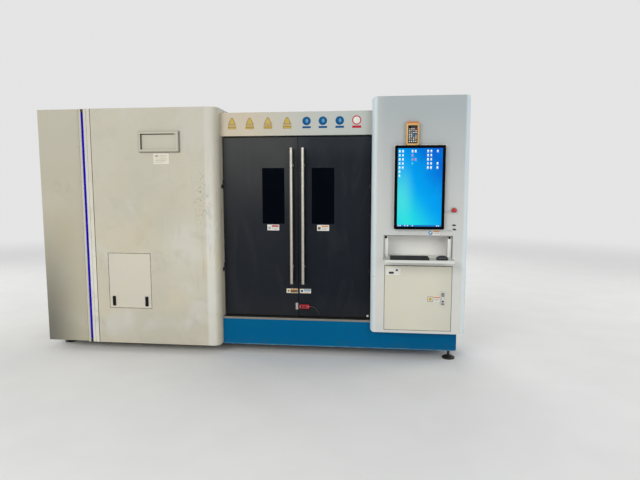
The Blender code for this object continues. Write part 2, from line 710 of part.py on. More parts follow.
def service_hatch():
    """A flush folded hatch, hinged at its top edge, with two quarter-turn latches at its foot."""
    pivot = pivot_at("hatch_pivot", (HATCH_X + HATCH_SIZE[0] / 2, FRONT_Y, HATCH_TOP))
    x1 = HATCH_X + HATCH_SIZE[0]
    outer = rounded_rectangle(HATCH_X, x1, HATCH_BOTTOM, HATCH_TOP, HATCH_CORNER - SEAM / 2, 3)
    hatch = piece("service_hatch", prism(outer, "Y", FRONT_Y, FRONT_Y + HATCH_THICKNESS), ivory(), pivot)
    inner = rectangle(HATCH_X + LEAF_RIM, x1 - LEAF_RIM, HATCH_BOTTOM + LEAF_RIM, HATCH_TOP - LEAF_RIM)
    cut(hatch, prism(inner, "Y", FRONT_Y + SHEET, FRONT_Y + HATCH_THICKNESS + SHEET))
    latch_z = HATCH_BOTTOM + LATCH_RISE
    for side, x in (("left", HATCH_X + LATCH_INSET), ("right", x1 - LATCH_INSET)):
        cut(hatch, rod(LATCH_SHAFT + RUN, -HATCH_THICKNESS, SHEET, (x, FRONT_Y, latch_z), "-Y"))
        turn = pivot_at("hatch_latch_pivot_" + side, (x, FRONT_Y, latch_z), pivot)
        hatch_latch("hatch_latch_" + side, x, latch_z, turn)
    return hatch


def hatch_latch(name, x, z, pivot):
    """A grip with a finger dish, on a shaft through the hatch with a disc behind the sheet."""
    half_x, half_z = LATCH_SIZE[0] / 2, LATCH_SIZE[1] / 2
    near, far = FRONT_Y - SEAT, FRONT_Y - SEAT - LATCH_THICKNESS
    bevel = SHEET / 2
    rings = []
    for y, inset in ((near, 0), (far + bevel, 0), (far, bevel)):
        outline = rounded_rectangle(x - half_x + inset, x + half_x - inset,
                                    z - half_z + inset, z + half_z - inset, SHEET, 2)
        rings.append([on_plane("Y", a, b, y) for a, b in outline])
    latch = piece(name, loft(rings), black_plastic(), pivot)
    dish = rounded_rectangle(x - half_x / 2, x + half_x / 2, z - half_z * 0.75, z - half_z * 0.1, SHEET, 2)
    cut(latch, prism(dish, "Y", far - SHEET, far + SHEET))
    behind = SHEET + SEAT
    shaft = [(0, -behind - SHEET), (LATCH_SHAFT * 1.8, -behind - SHEET), (LATCH_SHAFT * 1.8, -behind),
             (LATCH_SHAFT, -behind), (LATCH_SHAFT, SHEET), (0, SHEET)]
    join(latch, placed(turned(shaft, 16), (x, FRONT_Y, z), "-Y"))
    return latch


def left_cabinet():
    left_front_panel()
    left_covers()
    light_strip()
    nameplate_frame()
    laser_source()
    service_hatch()


# Door bay

def header_panel():
    """A C section over the doors, its returns running back to the door frame."""
    low, high, back = HEADER_BOTTOM, HEADER_TOP, SHELL_Y
    section = [(HEADER_Y, low), (back, low), (back, low + SHEET), (HEADER_Y + SHEET, low + SHEET),
               (HEADER_Y + SHEET, high - SHEET), (back, high - SHEET), (back, high), (HEADER_Y, high)]
    return folded_along_x("header_panel", section, ivory())


def bay_covers():
    start = SHELL_Y + SEAT
    roof_x = (BAY_X + SEAT, BAY_WALL_X - SEAT)
    top = HEADER_TOP
    roof = piece("bay_roof", block(roof_x, (start, INNER_REAR_Y), (top - LEDGE, top)), ivory())
    inside_x = (roof_x[0] + SHEET, roof_x[1] - SHEET)
    cut(roof, block(inside_x, (start + SHEET, INNER_REAR_Y - SHEET), (top - LEDGE - SHEET, top - SHEET)))
    wall_x = (BAY_WALL_X, BAY_WALL_X + SHEET)
    piece("bay_right_wall", block(wall_x, (start, INNER_REAR_Y), (FOOT_HEIGHT, top)), ivory())
    left = LEFT_X + SHEET + SEAT
    outline = [(left, FOOT_HEIGHT), (BAY_WALL_X + SHEET, FOOT_HEIGHT), (BAY_WALL_X + SHEET, top),
               (BAY_X, top), (BAY_X, LEFT_TOP), (left, LEFT_TOP)]
    piece("rear_panel", prism(outline, "Y", REAR_Y - SHEET, REAR_Y), ivory())


def door_frame():
    """Two jambs and a top rail behind the leaves, standing on the bed."""
    x0, x1 = BAY_X + SEAT, BED_RIGHT_X
    top = HEADER_BOTTOM - SEAT
    low = BED_TOP + SEAT
    rail_low = DOOR_TOP - FRAME_WIDTH
    inner_x0, inner_x1 = x0 + FRAME_WIDTH, x1 - FRAME_WIDTH
    outline = [(x0, low), (inner_x0, low), (inner_x0, rail_low), (inner_x1, rail_low),
               (inner_x1, low), (x1, low), (x1, top), (x0, top)]
    return piece("door_frame", prism(outline, "Y", FRAME_Y, FRAME_Y + FRAME_DEPTH), graphite())


def door_leaf(side, pivot, outer_x, meeting_x):
    """A folded leaf: skin with a rim, two inner ribs, a window and a knuckle for each hinge."""
    x0, x1 = sorted((outer_x, meeting_x))
    outer = rounded_rectangle(x0, x1, DOOR_BOTTOM, DOOR_TOP, SHEET, 2)
    leaf = piece("door_" + side, prism(outer, "Y", DOOR_Y, DOOR_Y + LEAF_THICKNESS), graphite(), pivot)
    edges = [DOOR_BOTTOM + LEAF_RIM]
    for height in LEAF_RIB_HEIGHTS:
        edges += [height - LEAF_RIB / 2, height + LEAF_RIB / 2]
    edges.append(DOOR_TOP - LEAF_RIM)
    for low, high in zip(edges[::2], edges[1::2]):
        hollow = rectangle(x0 + LEAF_RIM, x1 - LEAF_RIM, low, high)
        cut(leaf, prism(hollow, "Y", DOOR_Y + SHEET, DOOR_Y + LEAF_THICKNESS + SHEET))
    window = rectangle(*window_span(side), WINDOW_BOTTOM, WINDOW_BOTTOM + WINDOW_SIZE[1])
    cut(leaf, prism(window, "Y", DOOR_Y - SHEET, DOOR_Y + SHEET * 2))
    axis_x = world_place(pivot).x
    for height in HINGE_HEIGHTS:
        join(leaf, rod(KNUCKLE_RADIUS, 0, KNUCKLE_HEIGHT, (axis_x, HINGE_Y, height)))
        bore = (-SHEET, KNUCKLE_HEIGHT + SHEET)
        cut(leaf, rod(PIN_RADIUS + RUN, *bore, (axis_x, HINGE_Y, height), segments=16))
    return leaf


def window_span(side):
    direction = -1 if side == "left" else 1
    near = MEETING_X + direction * WINDOW_FROM_MEETING
    return sorted((near, near + direction * WINDOW_SIZE[0]))


def window_pane(side, pivot):
    x0, x1 = window_span(side)
    top = WINDOW_BOTTOM + WINDOW_SIZE[1]
    outline = rounded_rectangle(x0 - PANE_MARGIN, x1 + PANE_MARGIN,
                                WINDOW_BOTTOM - PANE_MARGIN, top + PANE_MARGIN, SHEET, 2)
    back = DOOR_Y + SHEET + SEAT
    glass = material("dark_filter_glass", (0.002, 0.003, 0.006), 0.08)
    return piece("window_" + side, prism(outline, "Y", back, back + PANE_THICKNESS), glass, pivot)


def pull_handle(side, pivot):
    """A long bar with bevelled ends on two posts with a rosette each."""
    x = MEETING_X + (-HANDLE_FROM_MEETING if side == "left" else HANDLE_FROM_MEETING)
    y = DOOR_Y - HANDLE_REACH
    bevel = SHEET / 2
    bar = [(0, 0), (HANDLE_RADIUS - bevel, 0), (HANDLE_RADIUS, bevel),
           (HANDLE_RADIUS, HANDLE_LENGTH - bevel), (HANDLE_RADIUS - bevel, HANDLE_LENGTH),
           (0, HANDLE_LENGTH)]
    handle = piece("handle_" + side, placed(turned(bar), (x, y, HANDLE_BOTTOM)), steel(), pivot)
    reach = HANDLE_REACH - SEAT
    rosette = POST_RADIUS * 1.7
    post = [(0, 0), (rosette, 0), (rosette, SHEET), (POST_RADIUS, SHEET), (POST_RADIUS, reach), (0, reach)]
    for height in (HANDLE_BOTTOM + HANDLE_POST_INSET, HANDLE_BOTTOM + HANDLE_LENGTH - HANDLE_POST_INSET):
        join(handle, placed(turned(post, 16), (x, DOOR_Y - SEAT, height), "-Y"))
    return smooth(handle)


def hinge(name, side, axis_x, height):
    """The fixed half: a plate on the cabinet side, a short barrel below the knuckle and the pin."""
    wall_x = BAY_X + SEAT if side == "left" else CONSOLE_X - SEAT
    inward = 1 if side == "left" else -1
    low = height - BARREL_HEIGHT - SEAT
    look = dark_metal()
    pin_top = KNUCKLE_HEIGHT + BARREL_HEIGHT
    profile = [(0, 0), (BARREL_RADIUS, 0), (BARREL_RADIUS, BARREL_HEIGHT), (PIN_RADIUS, BARREL_HEIGHT),
               (PIN_RADIUS, pin_top), (0, pin_top)]
    made = piece(name, placed(turned(profile, 16), (axis_x, HINGE_Y, low)), look)
    plate_y = (HINGE_Y - HINGE_PLATE[0], HINGE_Y + BARREL_RADIUS / 2)
    plate_x = sorted((wall_x, wall_x + inward * HINGE_PLATE[1]))
    join(made, block(plate_x, plate_y, (low, low + BARREL_HEIGHT)))
    arm_x = sorted((wall_x + inward * HINGE_PLATE[1] / 2, axis_x))
    arm_y = (HINGE_Y - BARREL_RADIUS / 2, HINGE_Y + BARREL_RADIUS / 3)
    join(made, block(arm_x, arm_y, (low + SHEET, low + BARREL_HEIGHT - SHEET)))
    return smooth(made)


def interlock(left_pivot, right_pivot):
    """A safety switch on the right leaf, its tongue on the left leaf, and its lead into the right leaf."""
    width, depth, height = SWITCH_SIZE
    x0 = MEETING_X + SWITCH_FROM_MEETING
    face = DOOR_Y - SEAT
    low = SWITCH_HEIGHT - height / 2
    section = rounded_rectangle(face - depth, face, low, low + height, SHEET, 2)
    red = material("red_plastic", (0.42, 0.02, 0.03), 0.4)
    switch = piece("interlock_switch", prism(section, "X", x0, x0 + width), red, right_pivot)
    neck_y = face - depth / 2
    gland = (x0 + width, neck_y, SWITCH_HEIGHT)
    join(switch, rod(LEAD_RADIUS * 3, -SHEET, SHEET * 4, gland, "X", 12))
    slot = block((x0 - SHEET, x0 + SHEET * 2), (neck_y - SHEET, neck_y + SHEET),
                 (SWITCH_HEIGHT - SHEET * 3, SWITCH_HEIGHT + SHEET * 3))
    cut(switch, slot)
    tongue_width, tongue_depth, tongue_height = TONGUE_SIZE
    right = MEETING_X - MEETING_GAP / 2
    tongue = block((right - tongue_width, right), (face - tongue_depth, face),
                   (SWITCH_HEIGHT - tongue_height / 2, SWITCH_HEIGHT + tongue_height / 2))
    made = piece("interlock_tongue", tongue, steel(), left_pivot)
    interlock_lead(x0 + width + SHEET * 4 + SEAT, neck_y, right_pivot)
    return made


def interlock_lead(x, y, pivot):
    """A thin lead that droops along the leaf and turns into it near the lower edge."""
    gland = Vector((x, y, SWITCH_HEIGHT))
    points = smooth_route([gland + Vector((across, 0, -drop)) for across, drop in LEAD_ROUTE], 3)
    start = points[-1]
    onward = (start - points[-2]).normalized()
    inward = Vector((0, 1, 0))
    for step in range(1, 6):
        angle = math.radians(90 * step / 5)
        points.append(start + LEAD_BEND * (math.sin(angle) * onward + (1 - math.cos(angle)) * inward))
    points.append(Vector((points[-1].x, DOOR_Y - SEAT, points[-1].z)))
    curve = bpy.data.curves.new("interlock_lead", "CURVE")
    curve.dimensions = "3D"
    curve.bevel_depth = LEAD_RADIUS
    curve.bevel_resolution = 2
    curve.use_fill_caps = True
    spline = curve.splines.new("POLY")
    spline.points.add(len(points) - 1)
    for target, point in zip(spline.points, points):
        target.co = (*point, 1)
    curve.materials.append(black_plastic())
    lead = bpy.data.objects.new("interlock_lead", curve)
    bpy.context.scene.collection.objects.link(lead)
    lead.parent = pivot
    lead.matrix_parent_inverse = Matrix.Translation(-world_place(pivot))
    return lead


def smooth_route(points, steps):
    """Points of a smooth curve through the given ones."""
    ends = [points[0] * 2 - points[1], *points, points[-1] * 2 - points[-2]]
    route = []
    for before, start, end, after in zip(ends, ends[1:], ends[2:], ends[3:]):
        for step in range(steps):
            t = step / steps
            bend = 2 * before - 5 * start + 4 * end - after
            twist = 3 * start - before - 3 * end + after
            route.append(start + ((end - before) * t + bend * t ** 2 + twist * t ** 3) / 2)
    return route + [points[-1]]


def door_bumper(axis_x, pivot):
    """A white cap low on the hinge side of the right leaf."""
    x = axis_x - BUMPER_RADIUS
    z = DOOR_BOTTOM + BUMPER_RADIUS * 1.5
    profile = [(0, SEAT), (BUMPER_RADIUS, SEAT), (BUMPER_RADIUS, BUMPER_LENGTH / 2),
               (BUMPER_RADIUS / 2, BUMPER_LENGTH), (0, BUMPER_LENGTH)]
    look = material("white_plastic", (0.75, 0.75, 0.75), 0.4)
    return smooth(piece("door_bumper", placed(turned(profile, 16), (x, DOOR_Y, z), "-Y"), look, pivot))


def door_bay():
    header_panel()
    bay_covers()
    door_frame()
    left_axis = BAY_X + HINGE_GAP + SEAM
    right_axis = CONSOLE_X - HINGE_GAP - SEAM
    left_pivot = pivot_at("door_left_pivot", (left_axis, HINGE_Y, DOOR_BOTTOM))
    right_pivot = pivot_at("door_right_pivot", (right_axis, HINGE_Y, DOOR_BOTTOM))
    half_gap = MEETING_GAP / 2
    door_leaf("left", left_pivot, BAY_X + HINGE_GAP, MEETING_X - half_gap)
    door_leaf("right", right_pivot, CONSOLE_X - HINGE_GAP, MEETING_X + half_gap)
    for side, pivot, axis_x in (("left", left_pivot, left_axis), ("right", right_pivot, right_axis)):
        window_pane(side, pivot)
        pull_handle(side, pivot)
        for name, height in zip(("lower", "upper"), HINGE_HEIGHTS):
            hinge("hinge_%s_%s" % (side, name), side, axis_x, height)
    interlock(left_pivot, right_pivot)
    door_bumper(right_axis, right_pivot)


# Cutting chamber

def toothed_slat(y):
    """A cutting slat across the table: flat below, a row of pointed teeth on top."""
    x0, x1 = CHAMBER_LEFT_X + TABLE_BAR[0] / 2, CHAMBER_RIGHT_X - TABLE_BAR[0] / 2
    teeth = int((x1 - x0) / TOOTH_PITCH)
    pitch = (x1 - x0) / teeth
    outline = [(x1, TABLE_TOP - SLAT_HEIGHT), (x1, TABLE_TOP - TOOTH_DEPTH)]
    for tooth in reversed(range(teeth)):
        root = x0 + tooth * pitch
        outline += [(root + pitch / 2, TABLE_TOP), (root, TABLE_TOP - TOOTH_DEPTH)]
    outline.append((x0, TABLE_TOP - SLAT_HEIGHT))
    return prism(outline, "Y", y - SLAT_THICKNESS / 2, y + SLAT_THICKNESS / 2)


def cutting_table():
    """A welded frame of four bars with toothed slats across it."""
    bar, height = TABLE_BAR
    x0, x1 = CHAMBER_LEFT_X + SEAT, CHAMBER_RIGHT_X - SEAT
    y0 = BEAM_FRONT_Y + SHEET
    y1 = y0 + TABLE_LENGTH - SHEET * 2
    z = (TABLE_BAR_BOTTOM, TABLE_BAR_BOTTOM + height)
    table = piece("cutting_table", block((x0, x1), (y0, y1), z), bed_paint())
    cut(table, block((x0 + bar, x1 - bar), (y0 + bar, y1 - bar), (z[0] - SHEET, z[1] + SHEET)))
    pitch = (y1 - y0) / SLAT_COUNT
    for index in range(SLAT_COUNT):
        join(table, toothed_slat(y0 + pitch * (index + 0.5)))
    return table


def rail(name, x):
    """A waisted linear rail along a beam top."""
    half, height = RAIL_SIZE[0] / 2, RAIL_SIZE[1]
    waist = half * 0.72
    z = RAIL_BEAM_TOP + SEAT
    right = [(half, 0), (half, height * 0.35), (waist, height * 0.45), (waist, height * 0.6),
             (half, height * 0.75), (half, height)]
    section = [(x + a, z + b) for a, b in right] + [(x - a, z + b) for a, b in reversed(right)]
    return piece(name, prism(section, "Y", BEAM_FRONT_Y + SHEET, BEAM_REAR_Y - SHEET), steel())


def gantry_beam(pivot):
    """A box beam with two guide bars in front, on end blocks that straddle the rails."""
    depth, height = BEAM_SECTION
    y0, y1 = GANTRY_Y - depth / 2, GANTRY_Y + depth / 2
    z0, z1 = BEAM_BOTTOM, BEAM_BOTTOM + height
    paint = white()
    section = rounded_rectangle(y0, y1, z0, z1, SHEET * 2, 2)
    beam = piece("gantry_beam", prism(section, "X", RAIL_LEFT_X, RAIL_RIGHT_X), paint, pivot)
    block_half, block_length = GANTRY_BLOCK[0] / 2, GANTRY_BLOCK[1] / 2
    low = RAIL_BEAM_TOP + RAIL_SIZE[1] / 3
    channel = RAIL_SIZE[0] / 2 + RUN
    for x in (RAIL_LEFT_X, RAIL_RIGHT_X):
        outline = rounded_rectangle(x - block_half, x + block_half, low, z1 + LEAF_RIB, SHEET * 2, 2)
        join(beam, prism(outline, "Y", GANTRY_Y - block_length, GANTRY_Y + block_length))
        channel_y = (GANTRY_Y - block_length - SHEET, GANTRY_Y + block_length + SHEET)
        cut(beam, block((x - channel, x + channel), channel_y, (low - SHEET, RAIL_TOP + SEAT)))
    for z in guide_heights():
        span = (CHAMBER_LEFT_X, CHAMBER_RIGHT_X)
        join(beam, block(span, (y0 - GUIDE, y0 + SHEET), (z - GUIDE / 2, z + GUIDE / 2)))
    return beam


def guide_heights():
    middle = BEAM_BOTTOM + BEAM_SECTION[1] / 2
    return middle - BEAM_SECTION[1] / 4, middle + BEAM_SECTION[1] / 4


def head_carriage(pivot):
    """A plate that grips the guide bars, with a motor housing above and two upright guides in front."""
    width, depth, height = CARRIAGE_SIZE
    beam_face = GANTRY_Y - BEAM_SECTION[0] / 2
    back = beam_face - SHEET
    front = back - depth
    middle = BEAM_BOTTOM + BEAM_SECTION[1] / 2
    x0, x1 = CHAMBER_X - width / 2, CHAMBER_X + width / 2
    outline = rounded_rectangle(x0, x1, middle - height / 2, middle + height / 2, SHEET * 3, 3)
    plate = piece("head_carriage", prism(outline, "Y", front, back), white(), pivot)
    for z in guide_heights():
        groove_y = (beam_face - GUIDE - RUN, back + SHEET)
        cut(plate, block((x0 - SHEET, x1 + SHEET), groove_y, (z - GUIDE / 2 - RUN, z + GUIDE / 2 + RUN)))
    housing_x = (CHAMBER_X - width / 4, CHAMBER_X + width / 4)
    housing_z = (middle + height / 2 - SHEET, middle + height * 0.95)
    housing = rounded_rectangle(*housing_x, *housing_z, SHEET * 4, 4)
    join(plate, prism(housing, "Y", front, beam_face + BEAM_SECTION[0] / 3))
    for x in slide_guides():
        guide_z = (middle - height / 2 + SHEET, middle + height / 2 - SHEET)
        join(plate, block((x - GUIDE / 2, x + GUIDE / 2), (front - GUIDE, front + SHEET), guide_z))
    return plate


def slide_guides():
    quarter = SLIDE_SIZE[0] / 4
    return CHAMBER_X - quarter, CHAMBER_X + quarter


def carriage_front():
    return GANTRY_Y - BEAM_SECTION[0] / 2 - SHEET - CARRIAGE_SIZE[1]


def head_y():
    return carriage_front() - SHEET - SLIDE_SIZE[1] - HEAD_RADIUS - GUIDE / 2


def vertical_slide(pivot):
    """A plate that runs on the upright guides, with the split clamp that holds the head."""
    width, depth, height = SLIDE_SIZE
    back = carriage_front() - SHEET
    front = back - depth
    middle = BEAM_BOTTOM + BEAM_SECTION[1] / 2
    outline = rounded_rectangle(CHAMBER_X - width / 2, CHAMBER_X + width / 2,
                                middle - height / 2, middle + height / 2, SHEET * 2, 3)
    slide = piece("vertical_slide", prism(outline, "Y", front, back), dark_metal(), pivot)
    for x in slide_guides():
        groove_y = (carriage_front() - GUIDE - RUN, back + SHEET)
        cut(slide, block((x - GUIDE / 2 - RUN, x + GUIDE / 2 + RUN), groove_y,
                         (middle - height, middle + height)))
    outer = HEAD_RADIUS + GUIDE
    clamp_low = middle - height / 2 + SHEET
    clamp = [(CHAMBER_X - outer, front + SHEET)]
    clamp += arc((CHAMBER_X, head_y()), outer, 180, 360, 12)
    clamp.append((CHAMBER_X + outer, front + SHEET))
    join(slide, prism(clamp, "Z", clamp_low, clamp_low + CLAMP_HEIGHT))
    clamp_high = clamp_low + CLAMP_HEIGHT
    cut(slide, rod(HEAD_RADIUS + SEAT, clamp_low - SHEET, clamp_high + SHEET, (CHAMBER_X, head_y(), 0)))
    return slide


def cutting_head(pivot):
    """The turned head: fibre connector, collimator, lens drawer band, cone and nozzle seat."""
    r = HEAD_RADIUS
    length = HEAD_LENGTH
    band = r * 1.15
    profile = [(0, 0), (r * 0.42, 0), (r * 0.42, 0.010), (r * 0.9, 0.062), (r * 0.9, 0.070), (r, 0.074),
               (r, length * 0.62), (band, length * 0.63), (band, length * 0.68), (r, length * 0.69),
               (r, length * 0.84), (r * 0.55, length * 0.88), (r * 0.38, length * 0.89),
               (r * 0.38, length), (0, length)]
    z = NOZZLE_TIP + NOZZLE_LENGTH + SEAT
    head = piece("cutting_head", placed(turned(profile), (CHAMBER_X, head_y(), z)), graphite(), pivot)
    return smooth(head)


def nozzle(pivot):
    """A copper nozzle with its gas bore."""
    bore, tip, shoulder = 0.0015, 0.004, 0.013
    length = NOZZLE_LENGTH
    profile = [(bore, 0), (tip, 0), (shoulder, length * 0.55), (shoulder, length),
               (bore * 3, length), (bore, length / 2)]
    copper = material("copper", (0.55, 0.22, 0.10), 0.3, 1.0)
    tip_place = (CHAMBER_X, head_y(), NOZZLE_TIP)
    return smooth(piece("nozzle", placed(turned(profile, 16), tip_place), copper, pivot))


def cutting_chamber():
    cutting_table()
    rail("rail_left", RAIL_LEFT_X)
    rail("rail_right", RAIL_RIGHT_X)
    middle_z = BEAM_BOTTOM + BEAM_SECTION[1] / 2
    gantry = pivot_at("gantry_pivot", (CHAMBER_X, GANTRY_Y, RAIL_TOP))
    carriage = pivot_at("carriage_pivot", (CHAMBER_X, carriage_front(), middle_z), gantry)
    slide = pivot_at("slide_pivot", (CHAMBER_X, head_y(), middle_z), carriage)
    gantry_beam(gantry)
    head_carriage(carriage)
    vertical_slide(slide)
    cutting_head(slide)
    nozzle(slide)


# Console

def console_plan(inset):
    """The plan of the front shell, its two front corners round, closed at the back."""
    radius = CONSOLE_CORNER
    left = arc((CONSOLE_X + radius, FRONT_Y + radius), radius - inset, 180, 270)
    right = arc((RIGHT_X - radius, FRONT_Y + radius), radius - inset, 270, 360)
    back = SHELL_Y + inset
    return left + right + [(RIGHT_X - inset, back), (CONSOLE_X + inset, back)]


def console_elevation(inset):
    radius = CONSOLE_END_CORNER - inset
    return rounded_rectangle(CONSOLE_X + inset, RIGHT_X - inset,
                             CONSOLE_BOTTOM + inset, CONSOLE_TOP - inset, radius)


def console_front():
    """A deep front shell, round at all its edges, with openings for the keyboard niche and the door."""
    shell = piece("console_front", prism(console_plan(0), "Z", CONSOLE_BOTTOM, CONSOLE_TOP), white())
    combined(shell, "INTERSECT", prism(console_elevation(0), "Y", FRONT_Y - SHEET, SHELL_Y + SHEET))
    inside = piece("console_inside", prism(console_plan(SHEET), "Z", CONSOLE_BOTTOM, CONSOLE_TOP), white())
    combined(inside, "INTERSECT", prism(console_elevation(SHEET), "Y", FRONT_Y - SHEET, SHELL_Y + SHEET * 2))
    hollow = bmesh.new()
    hollow.from_mesh(inside.data)
    bpy.data.objects.remove(inside)
    cut(shell, hollow)
    niche = rectangle(NICHE_X, NICHE_RIGHT_X, NICHE_BOTTOM, NICHE_TOP)
    cut(shell, prism(niche, "Y", FRONT_Y - SHEET, FRONT_Y + SHEET * 2))
    door_x = (DOOR_PANEL_X, DOOR_PANEL_X + DOOR_PANEL_SIZE[0])
    door_z = (DOOR_PANEL_BOTTOM, DOOR_PANEL_BOTTOM + DOOR_PANEL_SIZE[1])
    add_rabbet(shell, door_x, door_z, DOOR_PANEL_THICKNESS, HATCH_CORNER)
    return smooth(shell)


def console_carcass():
    """The rear box of the console, open towards its front shell."""
    start, end = SHELL_Y + SEAT, CONSOLE_REAR_Y
    box = piece("console_carcass", prism(console_elevation(SEAT), "Y", start, end), white())
    cut(box, prism(console_elevation(SHEET + SEAT), "Y", start - SHEET, end - SHEET))
    return smooth(box)


def keyboard_niche():
    """A folded pan behind the opening: rim with the flap's pins, set-back flange, and the recess."""
    x0, x1 = NICHE_X, NICHE_RIGHT_X
    z0, z1 = NICHE_BOTTOM, NICHE_TOP
    start = FRONT_Y + SHEET + SEAT
    flange = FRONT_Y + NICHE_FLANGE
    back = FRONT_Y + NICHE_DEPTH
    outer = rectangle(x0 - SHEET, x1 + SHEET, z0 - SHEET, z1 + SHEET)
    niche = piece("keyboard_niche", prism(outer, "Y", start, flange + SHEET), white())
    cut(niche, prism(rectangle(x0, x1, z0, z1), "Y", start - SHEET, flange))
    floor = FLAP_TOP - SEAM
    ceiling = z1 - FLAP_RIM_WIDTH
    walls = rectangle(x0 + NICHE_COLUMN - SHEET, x1 - NICHE_COLUMN + SHEET, floor - SHEET, ceiling + SHEET)
    join(niche, prism(walls, "Y", flange + SHEET / 2, back))
    recess = rectangle(x0 + NICHE_COLUMN, x1 - NICHE_COLUMN, floor, ceiling)
    cut(niche, prism(recess, "Y", flange - SHEET, back - SHEET))
    reach = SEAM + FLAP_LUG
    for low, high in ((x0 - SHEET / 2, x0 + reach), (x1 - reach, x1 + SHEET / 2)):
        join(niche, rod(FLAP_PIN, low, high, (0, *FLAP_AXIS), "X", 12))
    return niche


def keyboard_flap():
    """The flap that folds up over the niche: a shallow tray with low rims and a lug at each back corner."""
    axis_y, axis_z = FLAP_AXIS
    pivot = pivot_at("flap_pivot", ((FLAP_LEFT_X + FLAP_RIGHT_X) / 2, axis_y, axis_z))
    front = FRONT_Y - FLAP_REACH
    back = FRONT_Y
    bottom = FLAP_TOP - FLAP_THICKNESS
    outline = rounded_rectangle(FLAP_LEFT_X, FLAP_RIGHT_X, front, back, SHEET * 2, 3)
    flap = piece("keyboard_flap", prism(outline, "Z", bottom, FLAP_TOP), white(), pivot)
    tray_x = (FLAP_LEFT_X + FLAP_RIM_WIDTH, FLAP_RIGHT_X - FLAP_RIM_WIDTH)
    tray = rectangle(*tray_x, front + FLAP_RIM_WIDTH, back + SHEET)
    cut(flap, prism(tray, "Z", FLAP_TOP - FLAP_RIM, FLAP_TOP + SHEET))
    root = back - FLAP_RIM_WIDTH
    lug = [(root, bottom), *arc(FLAP_AXIS, FLAP_PIVOT, -90, 90, 8), (root, axis_z + FLAP_PIVOT)]
    for x in (FLAP_LEFT_X, FLAP_RIGHT_X - FLAP_LUG):
        join(flap, prism(lug, "X", x, x + FLAP_LUG))
        cut(flap, rod(FLAP_PIN + RUN, x - SHEET, x + FLAP_LUG + SHEET, (0, axis_y, axis_z), "X", 12))
    keyboard(pivot)
    mouse(pivot)
    return smooth(flap)


def keyboard(pivot):
    """A wedge with a groove between its key rows."""
    width, depth = KEYBOARD_SIZE
    x0 = FLAP_LEFT_X + KEYBOARD_FROM_LEFT
    y0 = FRONT_Y - KEYBOARD_FRONT
    z0 = FLAP_TOP - FLAP_RIM + SEAT
    low, high = KEYBOARD_HEIGHTS
    rim = depth * 0.06
    pitch = (depth - 2 * rim) / KEY_ROWS
    groove = 0.0025

    def top(y):
        return z0 + low + (high - low) * (y - y0) / depth

    section = [(y0 + depth, z0), (y0 + depth, top(y0 + depth))]
    for row in reversed(range(KEY_ROWS + 1)):
        y = y0 + rim + row * pitch
        section += [(y + groove / 2, top(y)), (y + groove / 4, top(y) - groove)]
        section += [(y - groove / 4, top(y) - groove), (y - groove / 2, top(y))]
    section += [(y0, top(y0)), (y0, z0)]
    return piece("keyboard", prism(section, "X", x0, x0 + width), black_plastic(), pivot)


def mouse(pivot):
    """A mouse lying sideways: rounded plan, domed top."""
    length, width, height = MOUSE_SIZE
    x = FLAP_RIGHT_X - MOUSE_FROM_RIGHT
    y = FRONT_Y - KEYBOARD_FRONT + KEYBOARD_SIZE[1] / 2
    z0 = FLAP_TOP - FLAP_RIM + SEAT
    points = 20
    rings = []
    for level, share in MOUSE_DOME:
        ring = []
        for step in range(points):
            angle = 2 * math.pi * step / points
            across = x + share * length / 2 * math.cos(angle)
            along = y + share * width / 2 * math.sin(angle)
            ring.append(Vector((across, along, z0 + level * height)))
        rings.append(ring)
    return smooth(piece("mouse", loft(rings), black_plastic(), pivot), 60)


def bordered_box(name, x, z, depth, border, recess, look, corner):
    """A rounded box proud of the front, with a shallow recess inside its border."""
    back = FRONT_Y - SEAT
    bevel = SHEET / 2
    steps = ((0, SHEET), (SHEET, 0), (depth - bevel, 0), (depth, bevel), (depth, border),
             (depth - recess, border))
    rings = []
    for proud, inset in steps:
        outline = rounded_rectangle(x[0] + inset, x[1] - inset, z[0] + inset, z[1] - inset,
                                    max(corner - inset, bevel), 3)
        rings.append([on_plane("Y", a, b, back - proud) for a, b in outline])
    return smooth(piece(name, loft(rings), look))


def monitor():
    x0 = CONSOLE_X + MONITOR_FROM_LEFT
    x = (x0, x0 + MONITOR_SIZE[0])
    z = (MONITOR_BOTTOM, MONITOR_BOTTOM + MONITOR_SIZE[1])
    bordered_box("monitor", x, z, MONITOR_DEPTH, BEZEL, SCREEN_DEPTH, black_plastic(), SHEET * 2)
    inset = BEZEL + SEAT
    outline = rounded_rectangle(x[0] + inset, x[1] - inset, z[0] + inset, z[1] - inset, SHEET / 2 - SEAT, 3)
    floor = FRONT_Y - SEAT - MONITOR_DEPTH + SCREEN_DEPTH
    look = material("screen_glass", (0.0, 0.25, 0.70), 0.1)
    return piece("screen", prism(outline, "Y", floor - SCREEN_DEPTH + SHEET / 2, floor - SEAT), look)


def pendant():
    """The hand pendant in its yellow cover, with a recessed key field, resting on the monitor."""
    x0 = CONSOLE_X + PENDANT_FROM_LEFT - PENDANT_SIZE[0] / 2
    z0 = MONITOR_BOTTOM + MONITOR_SIZE[1] + SEAT
    look = material("yellow_rubber", (0.55, 0.33, 0.07), 0.6)
    return bordered_box("pendant", (x0, x0 + PENDANT_SIZE[0]), (z0, z0 + PENDANT_SIZE[1]), PENDANT_DEPTH,
                        FLAP_RIM_WIDTH * 1.6, PENDANT_RECESS, look, SHEET * 4)


